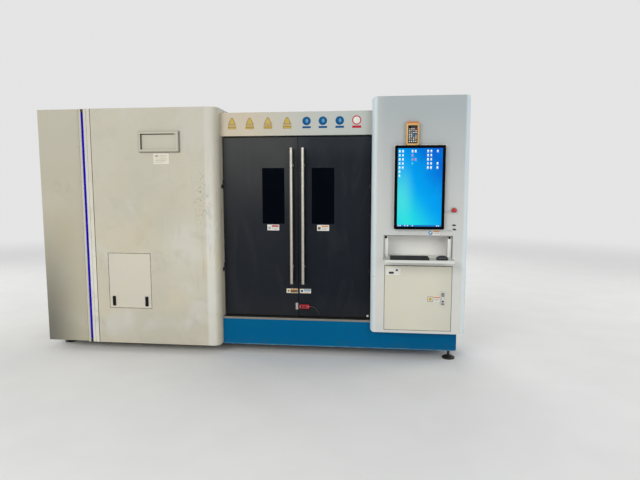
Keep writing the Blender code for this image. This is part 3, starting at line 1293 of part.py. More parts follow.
def emergency_stop():
    """A ring on the panel and the mushroom button that presses into it."""
    stem = COLLAR_RADIUS * 0.4
    bore = stem + RUN
    collar = [(bore, SEAT), (COLLAR_RADIUS, SEAT), (COLLAR_RADIUS, COLLAR_HEIGHT * 0.7),
              (COLLAR_RADIUS * 0.9, COLLAR_HEIGHT), (bore, COLLAR_HEIGHT)]
    place = (ESTOP_X, FRONT_Y, ESTOP_HEIGHT)
    smooth(piece("estop_collar", placed(turned(collar), place, "-Y"), steel()))
    pivot = pivot_at("estop_pivot", place)
    r = ESTOP_RADIUS
    under = COLLAR_HEIGHT + ESTOP_TRAVEL + RUN
    foot = ESTOP_TRAVEL + SEAT * 2
    button = [(0, foot), (stem, foot), (stem, under)]
    button += [(r * share, under + height) for share, height in ESTOP_DOME]
    red = material("red_button", (0.45, 0.02, 0.02), 0.35)
    return smooth(piece("estop_button", placed(turned(button), place, "-Y"), red, pivot))


def console_door():
    """A flush folded door, hinged on the left, with a recessed lock and its turning lever."""
    x0, x1 = DOOR_PANEL_X, DOOR_PANEL_X + DOOR_PANEL_SIZE[0]
    z0, z1 = DOOR_PANEL_BOTTOM, DOOR_PANEL_BOTTOM + DOOR_PANEL_SIZE[1]
    pivot = pivot_at("console_door_pivot", (x0, FRONT_Y, z0))
    back = FRONT_Y + DOOR_PANEL_THICKNESS
    outer = rounded_rectangle(x0, x1, z0, z1, HATCH_CORNER - SEAM / 2, 3)
    door = piece("console_door", prism(outer, "Y", FRONT_Y, back), ivory(), pivot)
    hollow = rectangle(x0 + LEAF_RIM, x1 - LEAF_RIM, z0 + LEAF_RIM, z1 - LEAF_RIM)
    cut(door, prism(hollow, "Y", FRONT_Y + SHEET, back + SHEET))
    half = LOCK_SIZE[0] / 2
    lock_top = LOCK_BOTTOM + LOCK_SIZE[1]
    plate = rounded_rectangle(LOCK_X - half, LOCK_X + half, LOCK_BOTTOM, lock_top, SHEET * 2, 3)
    face = FRONT_Y - SEAT
    lock = piece("door_lock", prism(plate, "Y", face - LOCK_THICKNESS, face), steel(), pivot)
    stud = LEVER_SIZE[0] / 4
    seat = (LOCK_X, face, LEVER_PIVOT_Z)
    cut(lock, rod(stud + RUN, LOCK_THICKNESS / 3, LOCK_THICKNESS * 2, seat, "-Y"))
    turn = pivot_at("lever_pivot", seat, pivot)
    lever_half = LEVER_SIZE[0] / 2
    lever = arc((LOCK_X, LEVER_PIVOT_Z), lever_half, 180, 360, 10)
    tip = LEVER_PIVOT_Z + LEVER_SIZE[1] - LEVER_SIZE[0]
    lever += arc((LOCK_X, tip), lever_half * 0.8, 0, 180, 8)
    near = face - LOCK_THICKNESS - SEAT
    handle = piece("lock_lever", prism(lever, "Y", near - LOCK_THICKNESS, near), steel(), turn)
    join(handle, rod(stud, LOCK_THICKNESS / 2, LOCK_THICKNESS * 1.5, seat, "-Y"))
    return door


def control_computer():
    """The industrial computer on the console floor, with a recessed front and air slots."""
    width, depth, height = COMPUTER_SIZE
    x0 = CONSOLE_X + CONSOLE_WIDTH / 2 - width / 2
    y0 = SHELL_Y - SHEET * 4
    z0 = CONSOLE_BOTTOM + SHEET + SEAT * 2
    body = block((x0, x0 + width), (y0, y0 + depth), (z0, z0 + height))
    case = piece("control_computer", body, bed_paint())
    for index in range(5):
        z = z0 + BED_WALL + index * LEAF_RIB
        slot_x = (x0 + LEAF_RIB, x0 + width - LEAF_RIB)
        cut(case, block(slot_x, (y0 - SHEET, y0 + SHEET * 2), (z, z + LEAF_RIB / 2)))
    return case


def console():
    console_front()
    console_carcass()
    keyboard_niche()
    keyboard_flap()
    monitor()
    pendant()
    emergency_stop()
    console_door()
    control_computer()


def clear_scene():
    for old in list(bpy.data.objects):
        bpy.data.objects.remove(old)


clear_scene()
base()
left_cabinet()
door_bay()
cutting_chamber()
console()
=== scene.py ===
"""The look of the laser cutting machine: finishes, printed fields, small trim, floor, lights and camera."""
import math
import random

import bmesh
import bpy
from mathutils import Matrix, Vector


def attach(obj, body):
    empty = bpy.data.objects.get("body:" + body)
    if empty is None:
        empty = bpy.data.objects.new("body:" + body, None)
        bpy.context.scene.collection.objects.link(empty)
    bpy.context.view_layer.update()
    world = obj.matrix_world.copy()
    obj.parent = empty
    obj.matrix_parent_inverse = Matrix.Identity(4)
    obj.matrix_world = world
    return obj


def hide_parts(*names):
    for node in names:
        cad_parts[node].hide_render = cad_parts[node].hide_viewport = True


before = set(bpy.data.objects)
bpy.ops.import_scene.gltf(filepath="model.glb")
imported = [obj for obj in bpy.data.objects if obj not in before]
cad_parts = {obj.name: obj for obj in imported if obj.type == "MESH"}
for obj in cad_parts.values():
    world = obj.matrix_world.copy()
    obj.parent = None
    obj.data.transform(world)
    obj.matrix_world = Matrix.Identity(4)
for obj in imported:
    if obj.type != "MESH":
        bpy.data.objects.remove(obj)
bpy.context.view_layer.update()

# Planes of the machine's front, in metres
FRONT_Y = -0.805
DOOR_Y = -0.655
HEADER_Y = -0.685
HATCH_BOX = (-1.272, -0.876, 0.410, 0.910)
DOOR_BOX = (1.2145, 1.7765, 0.282, 0.837)
NICHE_BOX = (1.2065, 1.7725, 0.889, 1.095)
SEAM_SHADOW = 0.0034  # painted shadow in a seam shows this far round a hatch or door
STICKER = 0.0004  # thickness of a printed plate
PRINT = 0.0002  # a printed field stands this much above its plate
DIODE_PITCH = 0.0333  # along the light strip
SHARP_EDGE = math.radians(40)  # steeper edges of an added piece stay sharp
SEED_STEP = (3.7, 1.9, 5.3)  # a seed moves its texture by this much times the seed


def linked(name, data):
    """A new object of the data, in the scene."""
    thing = bpy.data.objects.new(name, data)
    bpy.context.scene.collection.objects.link(thing)
    return thing


# Camera

def add_camera():
    data = bpy.data.cameras.new("camera")
    data.sensor_fit = "HORIZONTAL"
    data.sensor_width = 36
    data.lens = 27.99
    camera = linked("camera", data)
    camera.location = (1.1235, -5.041, 1.490)
    camera.rotation_euler = (math.radians(84.12), 0, math.radians(6.26))
    bpy.context.scene.camera = camera


add_camera()
bpy.context.scene.view_settings.view_transform = "Standard"


# Finishes

def srgb(red, green, blue):
    """A colour written in screen values, as the linear values that a shader takes."""
    values = []
    for value in (red, green, blue):
        share = value / 255
        values.append(share / 12.92 if share <= 0.04045 else ((share + 0.055) / 1.055) ** 2.4)
    return (*values, 1.0)


def scaled(colour, share):
    """A linear colour with its channels times the share."""
    return (*(channel * share for channel in colour[:3]), 1.0)


class Finish:
    """A material under construction; its textures lie in the machine's own coordinates."""

    def __init__(self, name, roughness=0.5, metallic=0.0, specular=0.5):
        self.material = bpy.data.materials.new(name)
        self.material.use_nodes = True
        self.tree = self.material.node_tree
        self.shader = self.tree.nodes["Principled BSDF"]
        self.shader.inputs["Roughness"].default_value = roughness
        self.shader.inputs["Metallic"].default_value = metallic
        self.shader.inputs["Specular IOR Level"].default_value = specular
        self.position = self.node("ShaderNodeTexCoord", {}).outputs["Object"]

    def feed(self, socket, value):
        """Give a socket a fixed value, or link it to another node's output."""
        if hasattr(value, "is_linked"):
            self.tree.links.new(value, socket)
        else:
            socket.default_value = value

    def node(self, kind, inputs, **settings):
        node = self.tree.nodes.new(kind)
        for setting, value in settings.items():
            setattr(node, setting, value)
        for place, value in inputs.items():
            self.feed(node.inputs[place], value)
        return node

    def shifted(self, seed, stretch=(1, 1, 1)):
        """The machine's coordinates, stretched, and moved aside by the seed."""
        inputs = {"Vector": self.position, "Scale": stretch, "Location": tuple(seed * step for step in SEED_STEP)}
        return self.node("ShaderNodeMapping", inputs).outputs["Vector"]

    def noise(self, scale, detail=3.0, stretch=(1, 1, 1), seed=0.0, distortion=0.0):
        inputs = {"Vector": self.shifted(seed, stretch), "Scale": scale, "Detail": detail, "Distortion": distortion}
        return self.node("ShaderNodeTexNoise", inputs).outputs["Fac"]

    def cells(self, scale, seed):
        return self.node("ShaderNodeTexVoronoi", {"Vector": self.shifted(seed), "Scale": scale}).outputs["Distance"]

    def span(self, value, low, high, to_low=0.0, to_high=1.0, smooth=True):
        """The value's place between low and high, eased, as a number between to_low and to_high."""
        inputs = {"Value": value, "From Min": low, "From Max": high, "To Min": to_low, "To Max": to_high}
        easing = "SMOOTHSTEP" if smooth else "LINEAR"
        return self.node("ShaderNodeMapRange", inputs, interpolation_type=easing).outputs["Result"]

    def math(self, operation, first, second=0.0):
        return self.node("ShaderNodeMath", {0: first, 1: second}, operation=operation).outputs["Value"]

    def product(self, first, *others):
        for other in others:
            first = self.math("MULTIPLY", first, other)
        return first

    def axis(self, letter):
        return self.node("ShaderNodeSeparateXYZ", {"Vector": self.position}).outputs[letter]

    def length(self, vector):
        return self.node("ShaderNodeVectorMath", {0: vector}, operation="LENGTH").outputs["Value"]

    def within(self, letter, low, high, soft):
        """One between low and high along an axis, easing to nothing over the soft length outside."""
        place = self.axis(letter)
        return self.product(self.span(place, low - soft, low), self.span(place, high, high + soft, 1.0, 0.0))

    def box(self, x0, x1, z0, z1, soft=0.0004):
        """One inside an upright rectangle."""
        return self.product(self.within("X", x0, x1, soft), self.within("Z", z0, z1, soft))

    def rim(self, x0, x1, z0, z1, width):
        """One along the inside of an upright rectangle's edge, easing to nothing over the width."""
        inner = self.box(x0 + width, x1 - width, z0 + width, z1 - width, width)
        return self.math("SUBTRACT", 1.0, inner)

    def patch(self, centre, radii, soft):
        """One inside an ellipsoid round centre, easing to nothing at its rim."""
        inputs = {"Vector": self.position, "Location": centre, "Scale": radii}
        place = self.node("ShaderNodeMapping", inputs, vector_type="TEXTURE").outputs["Vector"]
        return self.span(self.length(place), 1.0 - soft, 1.0, 1.0, 0.0)

    def mix(self, share, first, second):
        return self.node("ShaderNodeMix", {"Factor": share, 6: first, 7: second}, data_type="RGBA").outputs[2]

    def over(self, look, tone, *shares):
        """The look under a screen colour, which covers it as far as the product of the shares."""
        return self.mix(self.product(*shares), look, srgb(*tone))

    def bump(self, height, strength, distance):
        inputs = {"Height": height, "Strength": strength, "Distance": distance}
        self.feed(self.shader.inputs["Normal"], self.node("ShaderNodeBump", inputs).outputs["Normal"])

    def gloss(self, low, high, scale=6.0, seed=0.0):
        """Roughness that wanders between low and high."""
        self.feed(self.shader.inputs["Roughness"],
                  self.span(self.noise(scale, 4, seed=seed), 0.35, 0.65, low, high))

    def made(self, look):
        """The material, with the look as its colour."""
        self.feed(self.shader.inputs["Base Color"], look)
        return self.material


def grown(box, by):
    x0, x1, z0, z1 = box
    return x0 - by, x1 + by, z0 - by, z1 + by


def powder_coat(name, tone, depth=0.05, dust=True, gloss=(0.48, 0.54), seed=0.0, specular=0.35):
    """Sprayed paint: a slight mottle, a fine orange peel, and dust on the lowest edge."""
    paint, colour = Finish(name, specular=specular), srgb(*tone)
    warm = (colour[0] * 1.02, colour[1], colour[2] * (1 - depth * 0.8), 1.0)
    mottle = paint.span(paint.noise(1.6, 4, seed=seed), 0.35, 0.68)
    look = paint.mix(mottle, colour, scaled(colour, 1 - depth))
    look = paint.mix(paint.span(paint.noise(3.1, 3, seed=seed + 2), 0.45, 0.75), look, warm)
    if dust:
        low = paint.span(paint.axis("Z"), 0.08, 0.36, 0.16, 0.0)
        look = paint.over(look, (150, 138, 120), low, paint.span(paint.noise(9, 5, seed=seed + 1), 0.3, 0.7))
    paint.gloss(*gloss, seed=seed)
    paint.bump(paint.noise(420, 2, seed=seed), 0.06, 0.0004)
    return paint, look


def specks(paint, look, scale, size, tone, share, seed, *masks):
    """The look under small dots in loose groups."""
    dots = paint.span(paint.cells(scale, seed), size * 0.5, size, share, 0.0)
    sparse = paint.span(paint.noise(scale * 0.45, 2, seed=seed + 4), 0.56, 0.66)
    return paint.over(look, tone, dots, sparse, *masks)


def cabinet_paint():
    """Ivory: brown runs and specks beside the doors, soft clouds and a scuffed end panel; painted shade darkens the
    end panel downwards, the top, the seam round the hatch and the grooves by the light strip, and painted highlights
    lie on the rib by the strip and on the right edge.
    """
    paint, look = powder_coat("ivory_cabinet", (194, 189, 171), 0.06, seed=1.0)
    across, up = paint.axis("X"), paint.axis("Z")
    face = paint.span(paint.axis("Y"), FRONT_Y + 0.01, FRONT_Y + 0.12, 1.0, 0.0)
    # painted shade: the face of the end panel, left of the light strip, is darker
    look = paint.over(look, (171, 165, 144), paint.span(across, -1.53, -1.49, 0.75, 0.0), face)
    # painted highlight on the rib right of the light strip
    look = paint.over(look, (216, 214, 202), paint.within("X", -1.449, -1.3935, 0.001), 0.9)
    for x, z, half_x, half_z, share, tone in ((-0.52, 1.02, 0.30, 0.42, 0.75, (203, 201, 190)),
                                              (-1.10, 1.06, 0.34, 0.24, 0.5, (196, 184, 158)),
                                              (-1.70, 1.10, 0.20, 0.30, 0.5, (176, 164, 138)),
                                              (-0.62, 1.35, 0.30, 0.30, 0.4, (182, 176, 156)),
                                              (-0.98, 1.42, 0.60, 0.60, 0.5, (177, 172, 154)),
                                              (-0.95, 0.22, 0.60, 0.20, 0.4, (186, 184, 174))):
        ragged = paint.span(paint.noise(4.5, 5, seed=x), 0.25, 0.7, 0.3, 1.0)
        look = paint.over(look, tone, paint.patch((x, FRONT_Y, z), (half_x, 1, half_z), 0.9), ragged, share)
    front = paint.span(across, -1.53, -1.47, 0.3, 1.0)
    for scale, seed, tone in ((1.9, 31.0, (188, 176, 146)), (2.3, 37.0, (202, 202, 196)),
                              (5.2, 41.0, (176, 172, 156))):
        cloud = paint.span(paint.noise(scale, 5, seed=seed, distortion=0.8), 0.50, 0.74, 0.0, 0.55)
        look = paint.over(look, tone, cloud, front)
    # painted shade: the end panel darkens towards its left edge and towards its foot
    look = paint.over(look, (106, 103, 94), paint.span(across, -1.90, -1.50, 1.0, 0.0),
                      paint.span(up, 0.1, 1.4, 1.0, 0.0), face)
    # painted highlight down the rounded right edge of the cabinet
    look = paint.over(look, (218, 218, 212), paint.within("X", -0.335, -0.290, 0.030), 0.55)
    beside_doors = paint.product(paint.within("X", -0.62, -0.27, 0.22), paint.within("Z", 0.75, 1.70, 0.35))
    runs = paint.noise(1.0, 5, stretch=(34, 1, 2.6), seed=3.0, distortion=0.6)
    look = paint.over(look, (158, 138, 108), paint.span(runs, 0.56, 0.80, 0.0, 0.45), beside_doors)
    look = specks(paint, look, 70, 0.22, (120, 98, 72), 0.75, 2.0, beside_doors)
    look = specks(paint, look, 46, 0.10, (128, 118, 100), 0.5, 5.0)
    spatter = paint.span(paint.noise(46, 6, stretch=(1, 1, 0.7), seed=8.0), 0.56, 0.66, 0.0, 0.60)
    look = paint.over(look, (122, 98, 72), paint.patch((-0.39, FRONT_Y, 1.43), (0.10, 1, 0.34), 0.7), spatter)
    cool = paint.span(paint.noise(26, 6, stretch=(1, 1, 0.5), seed=9.0), 0.48, 0.64, 0.0, 0.32)
    look = paint.over(look, (140, 144, 146), paint.patch((-0.34, FRONT_Y, 1.30), (0.08, 1, 0.30), 0.8), cool)
    scuff = paint.span(paint.noise(22, 5, seed=6.0), 0.45, 0.7, 0.0, 0.5)
    look = paint.over(look, (150, 142, 122), paint.patch((-1.70, -0.80, 1.52), (0.16, 0.3, 0.10), 0.8), scuff)
    # painted shade: darker towards the top
    look = paint.over(look, (176, 172, 157), paint.span(up, 0.9, 2.1, 0.0, 0.60))
    # painted shadow in the seam round the hatch
    look = paint.over(look, (84, 72, 56), paint.box(*grown(HATCH_BOX, SEAM_SHADOW)), 0.9)
    # painted shadow in the grooves at both edges of the light strip's trim
    for x in (-1.3895, -1.4985):
        look = paint.over(look, (112, 96, 74), paint.within("X", x - 0.0024, x + 0.0024, 0.0006), 0.85)
    return paint.made(look)


def header_paint():
    """Beige, pinkish at its left and greyer at its right, with a few specks."""
    paint, look = powder_coat("ivory_header", (190, 179, 158), 0.05, dust=False, seed=4.0)
    look = paint.over(look, (172, 178, 174), paint.span(paint.axis("X"), -0.15, 0.75, 0.0, 0.9))
    return paint.made(specks(paint, look, 55, 0.12, (110, 96, 80), 0.7, 1.5))


def plain_ivory(name, tone, seed):
    paint, look = powder_coat(name, tone, 0.025, seed=seed)
    return paint.made(look)


def nameplate_paint():
    """The raised frame, with painted shadow along the top and left of its recess and along its right and lower edges.
    """
    paint, look = powder_coat("ivory_nameplate", (182, 178, 162), 0.05, seed=17.0)
    # painted shadow lines inside the recess and along the frame's outer edges
    for box, share in (((-0.9170, -0.9110, 1.832, 1.966), 0.8), ((-0.9170, -0.6150, 1.959, 1.966), 0.9),
                       ((-0.5745, -0.5700, 1.806, 1.990), 0.6), ((-0.9300, -0.5700, 1.806, 1.811), 0.6)):
        look = paint.over(look, (62, 58, 48), paint.box(*box, 0.0010), share)
    return paint.made(look)


def hatch_paint():
    """The hatch is a little paler than the cabinet, with brown dirt along its edges."""
    paint, look = powder_coat("ivory_hatch", (201, 196, 181), 0.05, seed=18.0)
    dirt = paint.span(paint.noise(30, 4, seed=2.0), 0.3, 0.6, 0.2, 0.8)
    return paint.made(paint.over(look, (128, 110, 88), paint.rim(*HATCH_BOX, 0.004), dirt))


def console_paint():
    """Cool off-white with specks at the left, a smudge and two scuffs; painted shade darkens it towards the top and
    lies in the seams and under the flap, and a bluish painted highlight runs down both front corners.
    """
    paint, look = powder_coat("white_console", (203, 204, 200), 0.04, seed=7.0)
    across = paint.axis("X")
    # painted shade: darker towards the top
    look = paint.over(look, (158, 165, 166), paint.span(paint.axis("Z"), 0.8, 2.15, smooth=False))
    look = paint.over(look, (203, 202, 192), paint.span(across, 1.10, 1.22, 0.35, 0.0))
    # a bluish painted highlight down both rounded front corners
    for low, high in ((1.100, 1.125), (1.872, 1.899)):
        corner_highlight = paint.product(paint.within("X", low, high, 0.022), paint.within("Y", -0.85, -0.77, 0.06))
        look = paint.over(look, (206, 222, 230), corner_highlight, 0.6)
    look = specks(paint, look, 60, 0.13, (130, 122, 105), 0.6, 3.0, paint.span(across, 1.12, 1.5, 1.0, 0.15))
    smudge = paint.span(paint.noise(60, 4, seed=2.0), 0.3, 0.7, 0.1, 0.45)
    for x, z, half_x, half_z, soft, share, tone in ((1.735, 1.298, 0.055, 0.022, 0.8, smudge, (120, 122, 122)),
                                                    (1.750, 1.140, 0.050, 0.014, 0.9, 0.4, (120, 122, 124)),
                                                    (1.115, 0.742, 0.030, 0.006, 0.8, 0.4, (140, 138, 130))):
        look = paint.over(look, tone, paint.patch((x, FRONT_Y, z), (half_x, 0.05, half_z), soft), share)
    # painted shadow in the seams round the door and the niche
    for box in (DOOR_BOX, NICHE_BOX):
        look = paint.over(look, (88, 84, 76), paint.box(*grown(box, SEAM_SHADOW)), 0.85)
    # painted shadow of the flap along the top of the door
    low, high, _, head = DOOR_BOX
    look = paint.over(look, (58, 56, 52), paint.box(low, high, head, head + 0.006, 0.002), 0.8)
    return paint.made(look)


def niche_paint():
    """White, paler than the console front as painted light in its recess, with shadow lines down both edges of its
    two columns and under its top.
    """
    paint, look = powder_coat("white_niche", (228, 228, 224), 0.025, seed=19.0)
    low, high, _, head = NICHE_BOX
    inner = paint.within("Y", FRONT_Y - 0.02, FRONT_Y + 0.05, 0.002)
    lines = [paint.within("X", x - 0.0014, x + 0.0014, 0.0006)
             for x in (low + 0.0015, high - 0.0015, low + 0.036, high - 0.036)]
    lines.append(paint.within("Z", head - 0.004, head, 0.001))
    for line in lines:
        look = paint.over(look, (70, 68, 62), line, inner, 0.75)
    return paint.made(look)


def console_door_paint():
    """Cream, greyer towards its lock, with specks and dirty edges."""
    paint, look = powder_coat("cream_console_door", (205, 202, 186), 0.05, seed=9.0)
    look = paint.over(look, (190, 188, 176), paint.span(paint.axis("X"), 1.60, 1.78, 0.0, 0.45))
    look = specks(paint, look, 60, 0.11, (132, 122, 100), 0.6, 7.0)
    dirt = paint.span(paint.noise(30, 4, seed=2.0), 0.3, 0.6, 0.2, 0.7)
    return paint.made(paint.over(look, (136, 122, 102), paint.rim(*DOOR_BOX, 0.004), dirt))


def door_paint():
    """Graphite, bluer on the right leaf, with faint dusty wipes; a greyer painted reflection lies at the top of both
    leaves and a painted shadow runs beside each handle.
    """
    paint, look = powder_coat("graphite_doors", (30, 33, 39), 0.14, gloss=(0.34, 0.50), seed=11.0, specular=0.12)
    across, up = paint.axis("X"), paint.axis("Z")
    # painted reflection: greyer towards the top of the left leaf
    look = paint.over(look, (62, 63, 62), paint.span(across, 0.36, 0.58, 1.0, 0.0),
                      paint.span(up, 1.15, 1.95, 0.0, 0.85))
    look = paint.over(look, (8, 17, 27), paint.span(across, 0.36, 0.58, 0.0, 0.75))
    # painted reflection: greyer at the top of the right leaf
    look = paint.over(look, (48, 54, 60), paint.span(across, 0.40, 0.50), paint.span(up, 1.7, 1.94, 0.0, 0.35))
    look = paint.over(look, (14, 20, 29), paint.span(up, 0.7, 1.5, 0.45, 0.0))
    # painted shadow in a band beside each handle
    for x in (0.399, 0.501):
        handle_shadow = paint.product(paint.within("X", x, x + 0.014, 0.004), paint.within("Z", 0.66, 1.83, 0.01))
        look = paint.over(look, (4, 5, 8), handle_shadow, 0.7)
    wipes = paint.noise(1.4, 6, stretch=(4, 1, 1), seed=8.0, distortion=1.5)
    look = paint.over(look, (80, 78, 74), paint.span(wipes, 0.5, 0.8, 0.0, 0.10))
    look = paint.over(look, (70, 68, 62), paint.span(up, 0.34, 0.60, 0.10, 0.0))
    return paint.made(specks(paint, look, 90, 0.12, (112, 106, 94), 0.45, 12.0))


def frame_paint():
    paint, look = powder_coat("graphite_frame", (5, 6, 9), 0.15, dust=False, seed=12.0, specular=0.05)
    return paint.made(look)


def base_paint():
    """Deep blue, darker towards the right end, with a rubbed pale line along the bottom edge."""
    paint, look = powder_coat("blue_base", (0, 94, 140), 0.10, False, (0.32, 0.46), 13.0, 0.04)
    up = paint.axis("Z")
    look = paint.over(look, (0, 80, 122), paint.span(paint.axis("X"), 1.0, 1.85, 0.0, 0.55))
    rubbed = paint.span(paint.noise(24, 4, stretch=(1, 1, 8), seed=1.0), 0.3, 0.6)
    look = paint.over(look, (120, 150, 160), paint.span(up, 0.084, 0.094, 0.75, 0.0), rubbed)
    grime = paint.span(paint.noise(14, 6, seed=3.0), 0.42, 0.7)
    return paint.made(paint.over(look, (60, 80, 90), paint.span(up, 0.08, 0.18, 0.22, 0.0), grime))


def machine_paint():
    """Grey workshop paint on the bed, with grime in patches."""
    paint, look = powder_coat("grey_bed", (112, 116, 118), 0.12, gloss=(0.5, 0.7), seed=14.0)
    grime = paint.span(paint.noise(5, 6, seed=5.0), 0.52, 0.75, 0.0, 0.5)
    return paint.made(paint.over(look, (70, 64, 56), grime))


def brushed(name, tone, along, roughness=(0.28, 0.42), depth=0.2, seed=0.0):
    """Metal with fine lines that run along one axis."""
    metal, colour = Finish(name, metallic=1.0), srgb(*tone)
    stretch = tuple(1.2 if letter == along else 90 for letter in "XYZ")
    lines = metal.noise(9, 4, stretch=stretch, seed=seed)
    look = metal.mix(metal.span(lines, 0.3, 0.7), colour, scaled(colour, 1 - depth))
    worn = metal.span(metal.noise(7, 5, seed=seed + 1), 0.5, 0.78, 0.0, 0.5)
    metal.feed(metal.shader.inputs["Roughness"], metal.span(lines, 0.3, 0.7, *roughness))
    metal.bump(lines, 0.08, 0.0002)
    return metal.made(metal.mix(worn, look, scaled(colour, 0.72)))


def burnt_steel():
    """Slats: dull steel, scorched brown and blue-black towards the teeth, with bright nicks."""
    metal = Finish("burnt_slats", metallic=0.85)
    height = metal.span(metal.axis("Z"), 0.80, 0.862)
    ragged = metal.math("ADD", height, metal.span(metal.noise(28, 5, seed=2.0), 0.3, 0.7, -0.35, 0.35))
    look = metal.mix(metal.span(metal.noise(12, 5, seed=1.0), 0.35, 0.7), srgb(136, 132, 126), srgb(104, 100, 96))
    look = metal.over(look, (66, 52, 44), metal.span(ragged, 0.35, 0.85, 0.0, 0.85))
    look = metal.over(look, (176, 170, 160), metal.span(metal.noise(160, 3, seed=3.0), 0.62, 0.72, 0.0, 0.8))
    metal.gloss(0.45, 0.75, 30, 4.0)
    metal.bump(metal.noise(140, 5, seed=5.0), 0.35, 0.0008)
    return metal.made(look)


def blackened():
    metal = Finish("blackened_metal", metallic=0.6)
    look = metal.mix(metal.span(metal.noise(30, 5, seed=1.0), 0.35, 0.7), srgb(44, 43, 42), srgb(64, 60, 56))
    metal.gloss(0.45, 0.65, 20, 1.0)
    metal.bump(metal.noise(220, 3, seed=2.0), 0.2, 0.0004)
    return metal.made(look)


def copper():
    """Turned copper with heat tint towards the tip."""
    metal = Finish("turned_copper", metallic=1.0)
    rings = metal.noise(6, 2, stretch=(1, 1, 400))
    look = metal.mix(metal.span(rings, 0.3, 0.7), srgb(203, 124, 88), srgb(176, 98, 66))
    metal.feed(metal.shader.inputs["Roughness"], metal.span(rings, 0.3, 0.7, 0.22, 0.34))
    metal.bump(rings, 0.15, 0.0002)
    return metal.made(metal.over(look, (96, 62, 58), metal.span(metal.axis("Z"), 0.910, 0.918, 0.8, 0.0)))


def moulded(name, tone, gloss=(0.42, 0.6), specular=0.4, grain=600, strength=0.18, depth=0.14, seed=0.0):
    """Moulded plastic or rubber with a fine grain."""
    skin, colour = Finish(name, specular=specular), srgb(*tone)
    look = skin.mix(skin.span(skin.noise(16, 4, seed=seed), 0.35, 0.7), colour, scaled(colour, 1 - depth))
    rub = skin.span(skin.noise(40, 5, seed=seed + 2), 0.6, 0.8, 0.0, 0.3)
    pale = (*(channel * 1.2 + 0.008 for channel in colour[:3]), 1.0)
    skin.gloss(*gloss, 25, seed)
    skin.bump(skin.noise(grain, 2, seed=seed), strength, 0.0003)
    return skin.made(skin.mix(rub, look, pale))


def pendant_cover():
    """Tan rubber, a darker orange along its top, with painted shade towards its right edge."""
    skin = Finish("tan_cover", specular=0.3)
    look = skin.mix(skin.span(skin.noise(20, 4), 0.35, 0.7), srgb(208, 166, 104), srgb(196, 152, 90))
    look = skin.over(look, (184, 104, 52), skin.span(skin.axis("Z"), 2.017, 2.025, 0.0, 0.9))
    # painted shade: darker towards the right edge
    look = skin.over(look, (178, 130, 72), skin.span(skin.axis("X"), 1.462, 1.479, 0.0, 0.4))
    skin.gloss(0.5, 0.7, 25)
    skin.bump(skin.noise(700, 2), 0.2, 0.0003)
    return skin.made(look)


def dark_pane():
    """A laser filter pane: near black, glossy, with a faint haze of dust."""
    glass = Finish("filter_pane", specular=0.03)
    look = glass.mix(glass.span(glass.noise(6, 5), 0.45, 0.75, 0.0, 0.6), srgb(0, 3, 10), srgb(3, 7, 14))
    glass.gloss(0.06, 0.16, 12)
    glass.bump(glass.noise(30, 2), 0.02, 0.0004)
    return glass.made(look)


def lit(name, tone, build, strength=1.0):
    """A surface that gives off its own light; build makes the socket of the light's colour."""
    glow = Finish(name, specular=0.02)
    glow.feed(glow.shader.inputs["Emission Color"], build(glow))
    glow.shader.inputs["Emission Strength"].default_value = strength
    glow.gloss(0.14, 0.26, 40)
    return glow.made(srgb(*tone))


def strip_light(glow):
    """Blue, with the soft row of its diodes and a little duller towards both ends."""
    row = glow.math("SINE", glow.math("MULTIPLY", glow.axis("Z"), 2 * math.pi / DIODE_PITCH))
    look = glow.mix(glow.span(row, -1, 1), srgb(14, 0, 150), srgb(22, 8, 178))
    upper = glow.span(glow.axis("Z"), 1.9, 2.16, 0.0, 0.45)
    lower = glow.span(glow.axis("Z"), 0.11, 0.35, 0.45, 0.0)
    return glow.over(look, (14, 6, 116), glow.math("MAXIMUM", upper, lower))


def desktop(glow):
    """Cyan at the lower left, strong blue towards the top and right."""
    across = glow.span(glow.axis("X"), 1.31, 1.69, smooth=False)
    up = glow.span(glow.axis("Z"), 1.17, 1.83, smooth=False)
    rise = glow.math("ADD", glow.math("MULTIPLY", across, 0.55), glow.math("MULTIPLY", up, 0.65))
    look = glow.mix(glow.span(rise, 0.15, 0.62), srgb(40, 222, 224), srgb(0, 160, 240))
    look = glow.over(look, (0, 92, 208), glow.span(rise, 0.55, 1.10))
    look = glow.over(look, (110, 236, 226), glow.patch((1.36, -0.845, 1.45), (0.11, 0.1, 0.34), 1.0), 0.35)
    return glow.over(look, (0, 190, 248), glow.span(glow.noise(9, 3), 0.4, 0.7, 0.0, 0.12))


IVORY = cabinet_paint()
HEADER = header_paint()
ROOF = plain_ivory("ivory_roof", (190, 187, 173), 15.0)
INNER = plain_ivory("ivory_inside", (186, 184, 174), 16.0)
PLATE_IVORY = nameplate_paint()
HATCH = hatch_paint()
CONSOLE = console_paint()
NICHE = niche_paint()
FLAP = plain_ivory("white_flap", (206, 207, 202), 20.0)
CONSOLE_DOOR = console_door_paint()
GANTRY = plain_ivory("white_gantry", (212, 214, 214), 21.0)
DOORS = door_paint()
FRAME = frame_paint()
BLUE = base_paint()
BED = machine_paint()
SOURCE = moulded("dark_unit_paint", (46, 50, 56), (0.35, 0.5), 0.35, 420, 0.1, seed=22.0)
SLATS = burnt_steel()
SILL = brushed("brushed_sill", (152, 147, 138), "X", seed=1.0)
HANDLE = brushed("satin_handle", (176, 171, 162), "Z", (0.34, 0.46), 0.10, seed=2.0)
RAIL = brushed("ground_rail", (188, 188, 186), "Y", (0.16, 0.28), 0.12, seed=3.0)
LOCK = brushed("cast_lock", (204, 204, 198), "Z", (0.3, 0.45), 0.2, seed=4.0)
TONGUE = brushed("cut_steel", (178, 178, 174), "X", (0.3, 0.5), 0.15, seed=5.0)
DARK = blackened()
COPPER = copper()
BLACK = moulded("black_moulding", (22, 22, 24), seed=1.0)
LATCH = moulded("black_latch", (9, 9, 11), (0.35, 0.5), 0.15, seed=9.0)
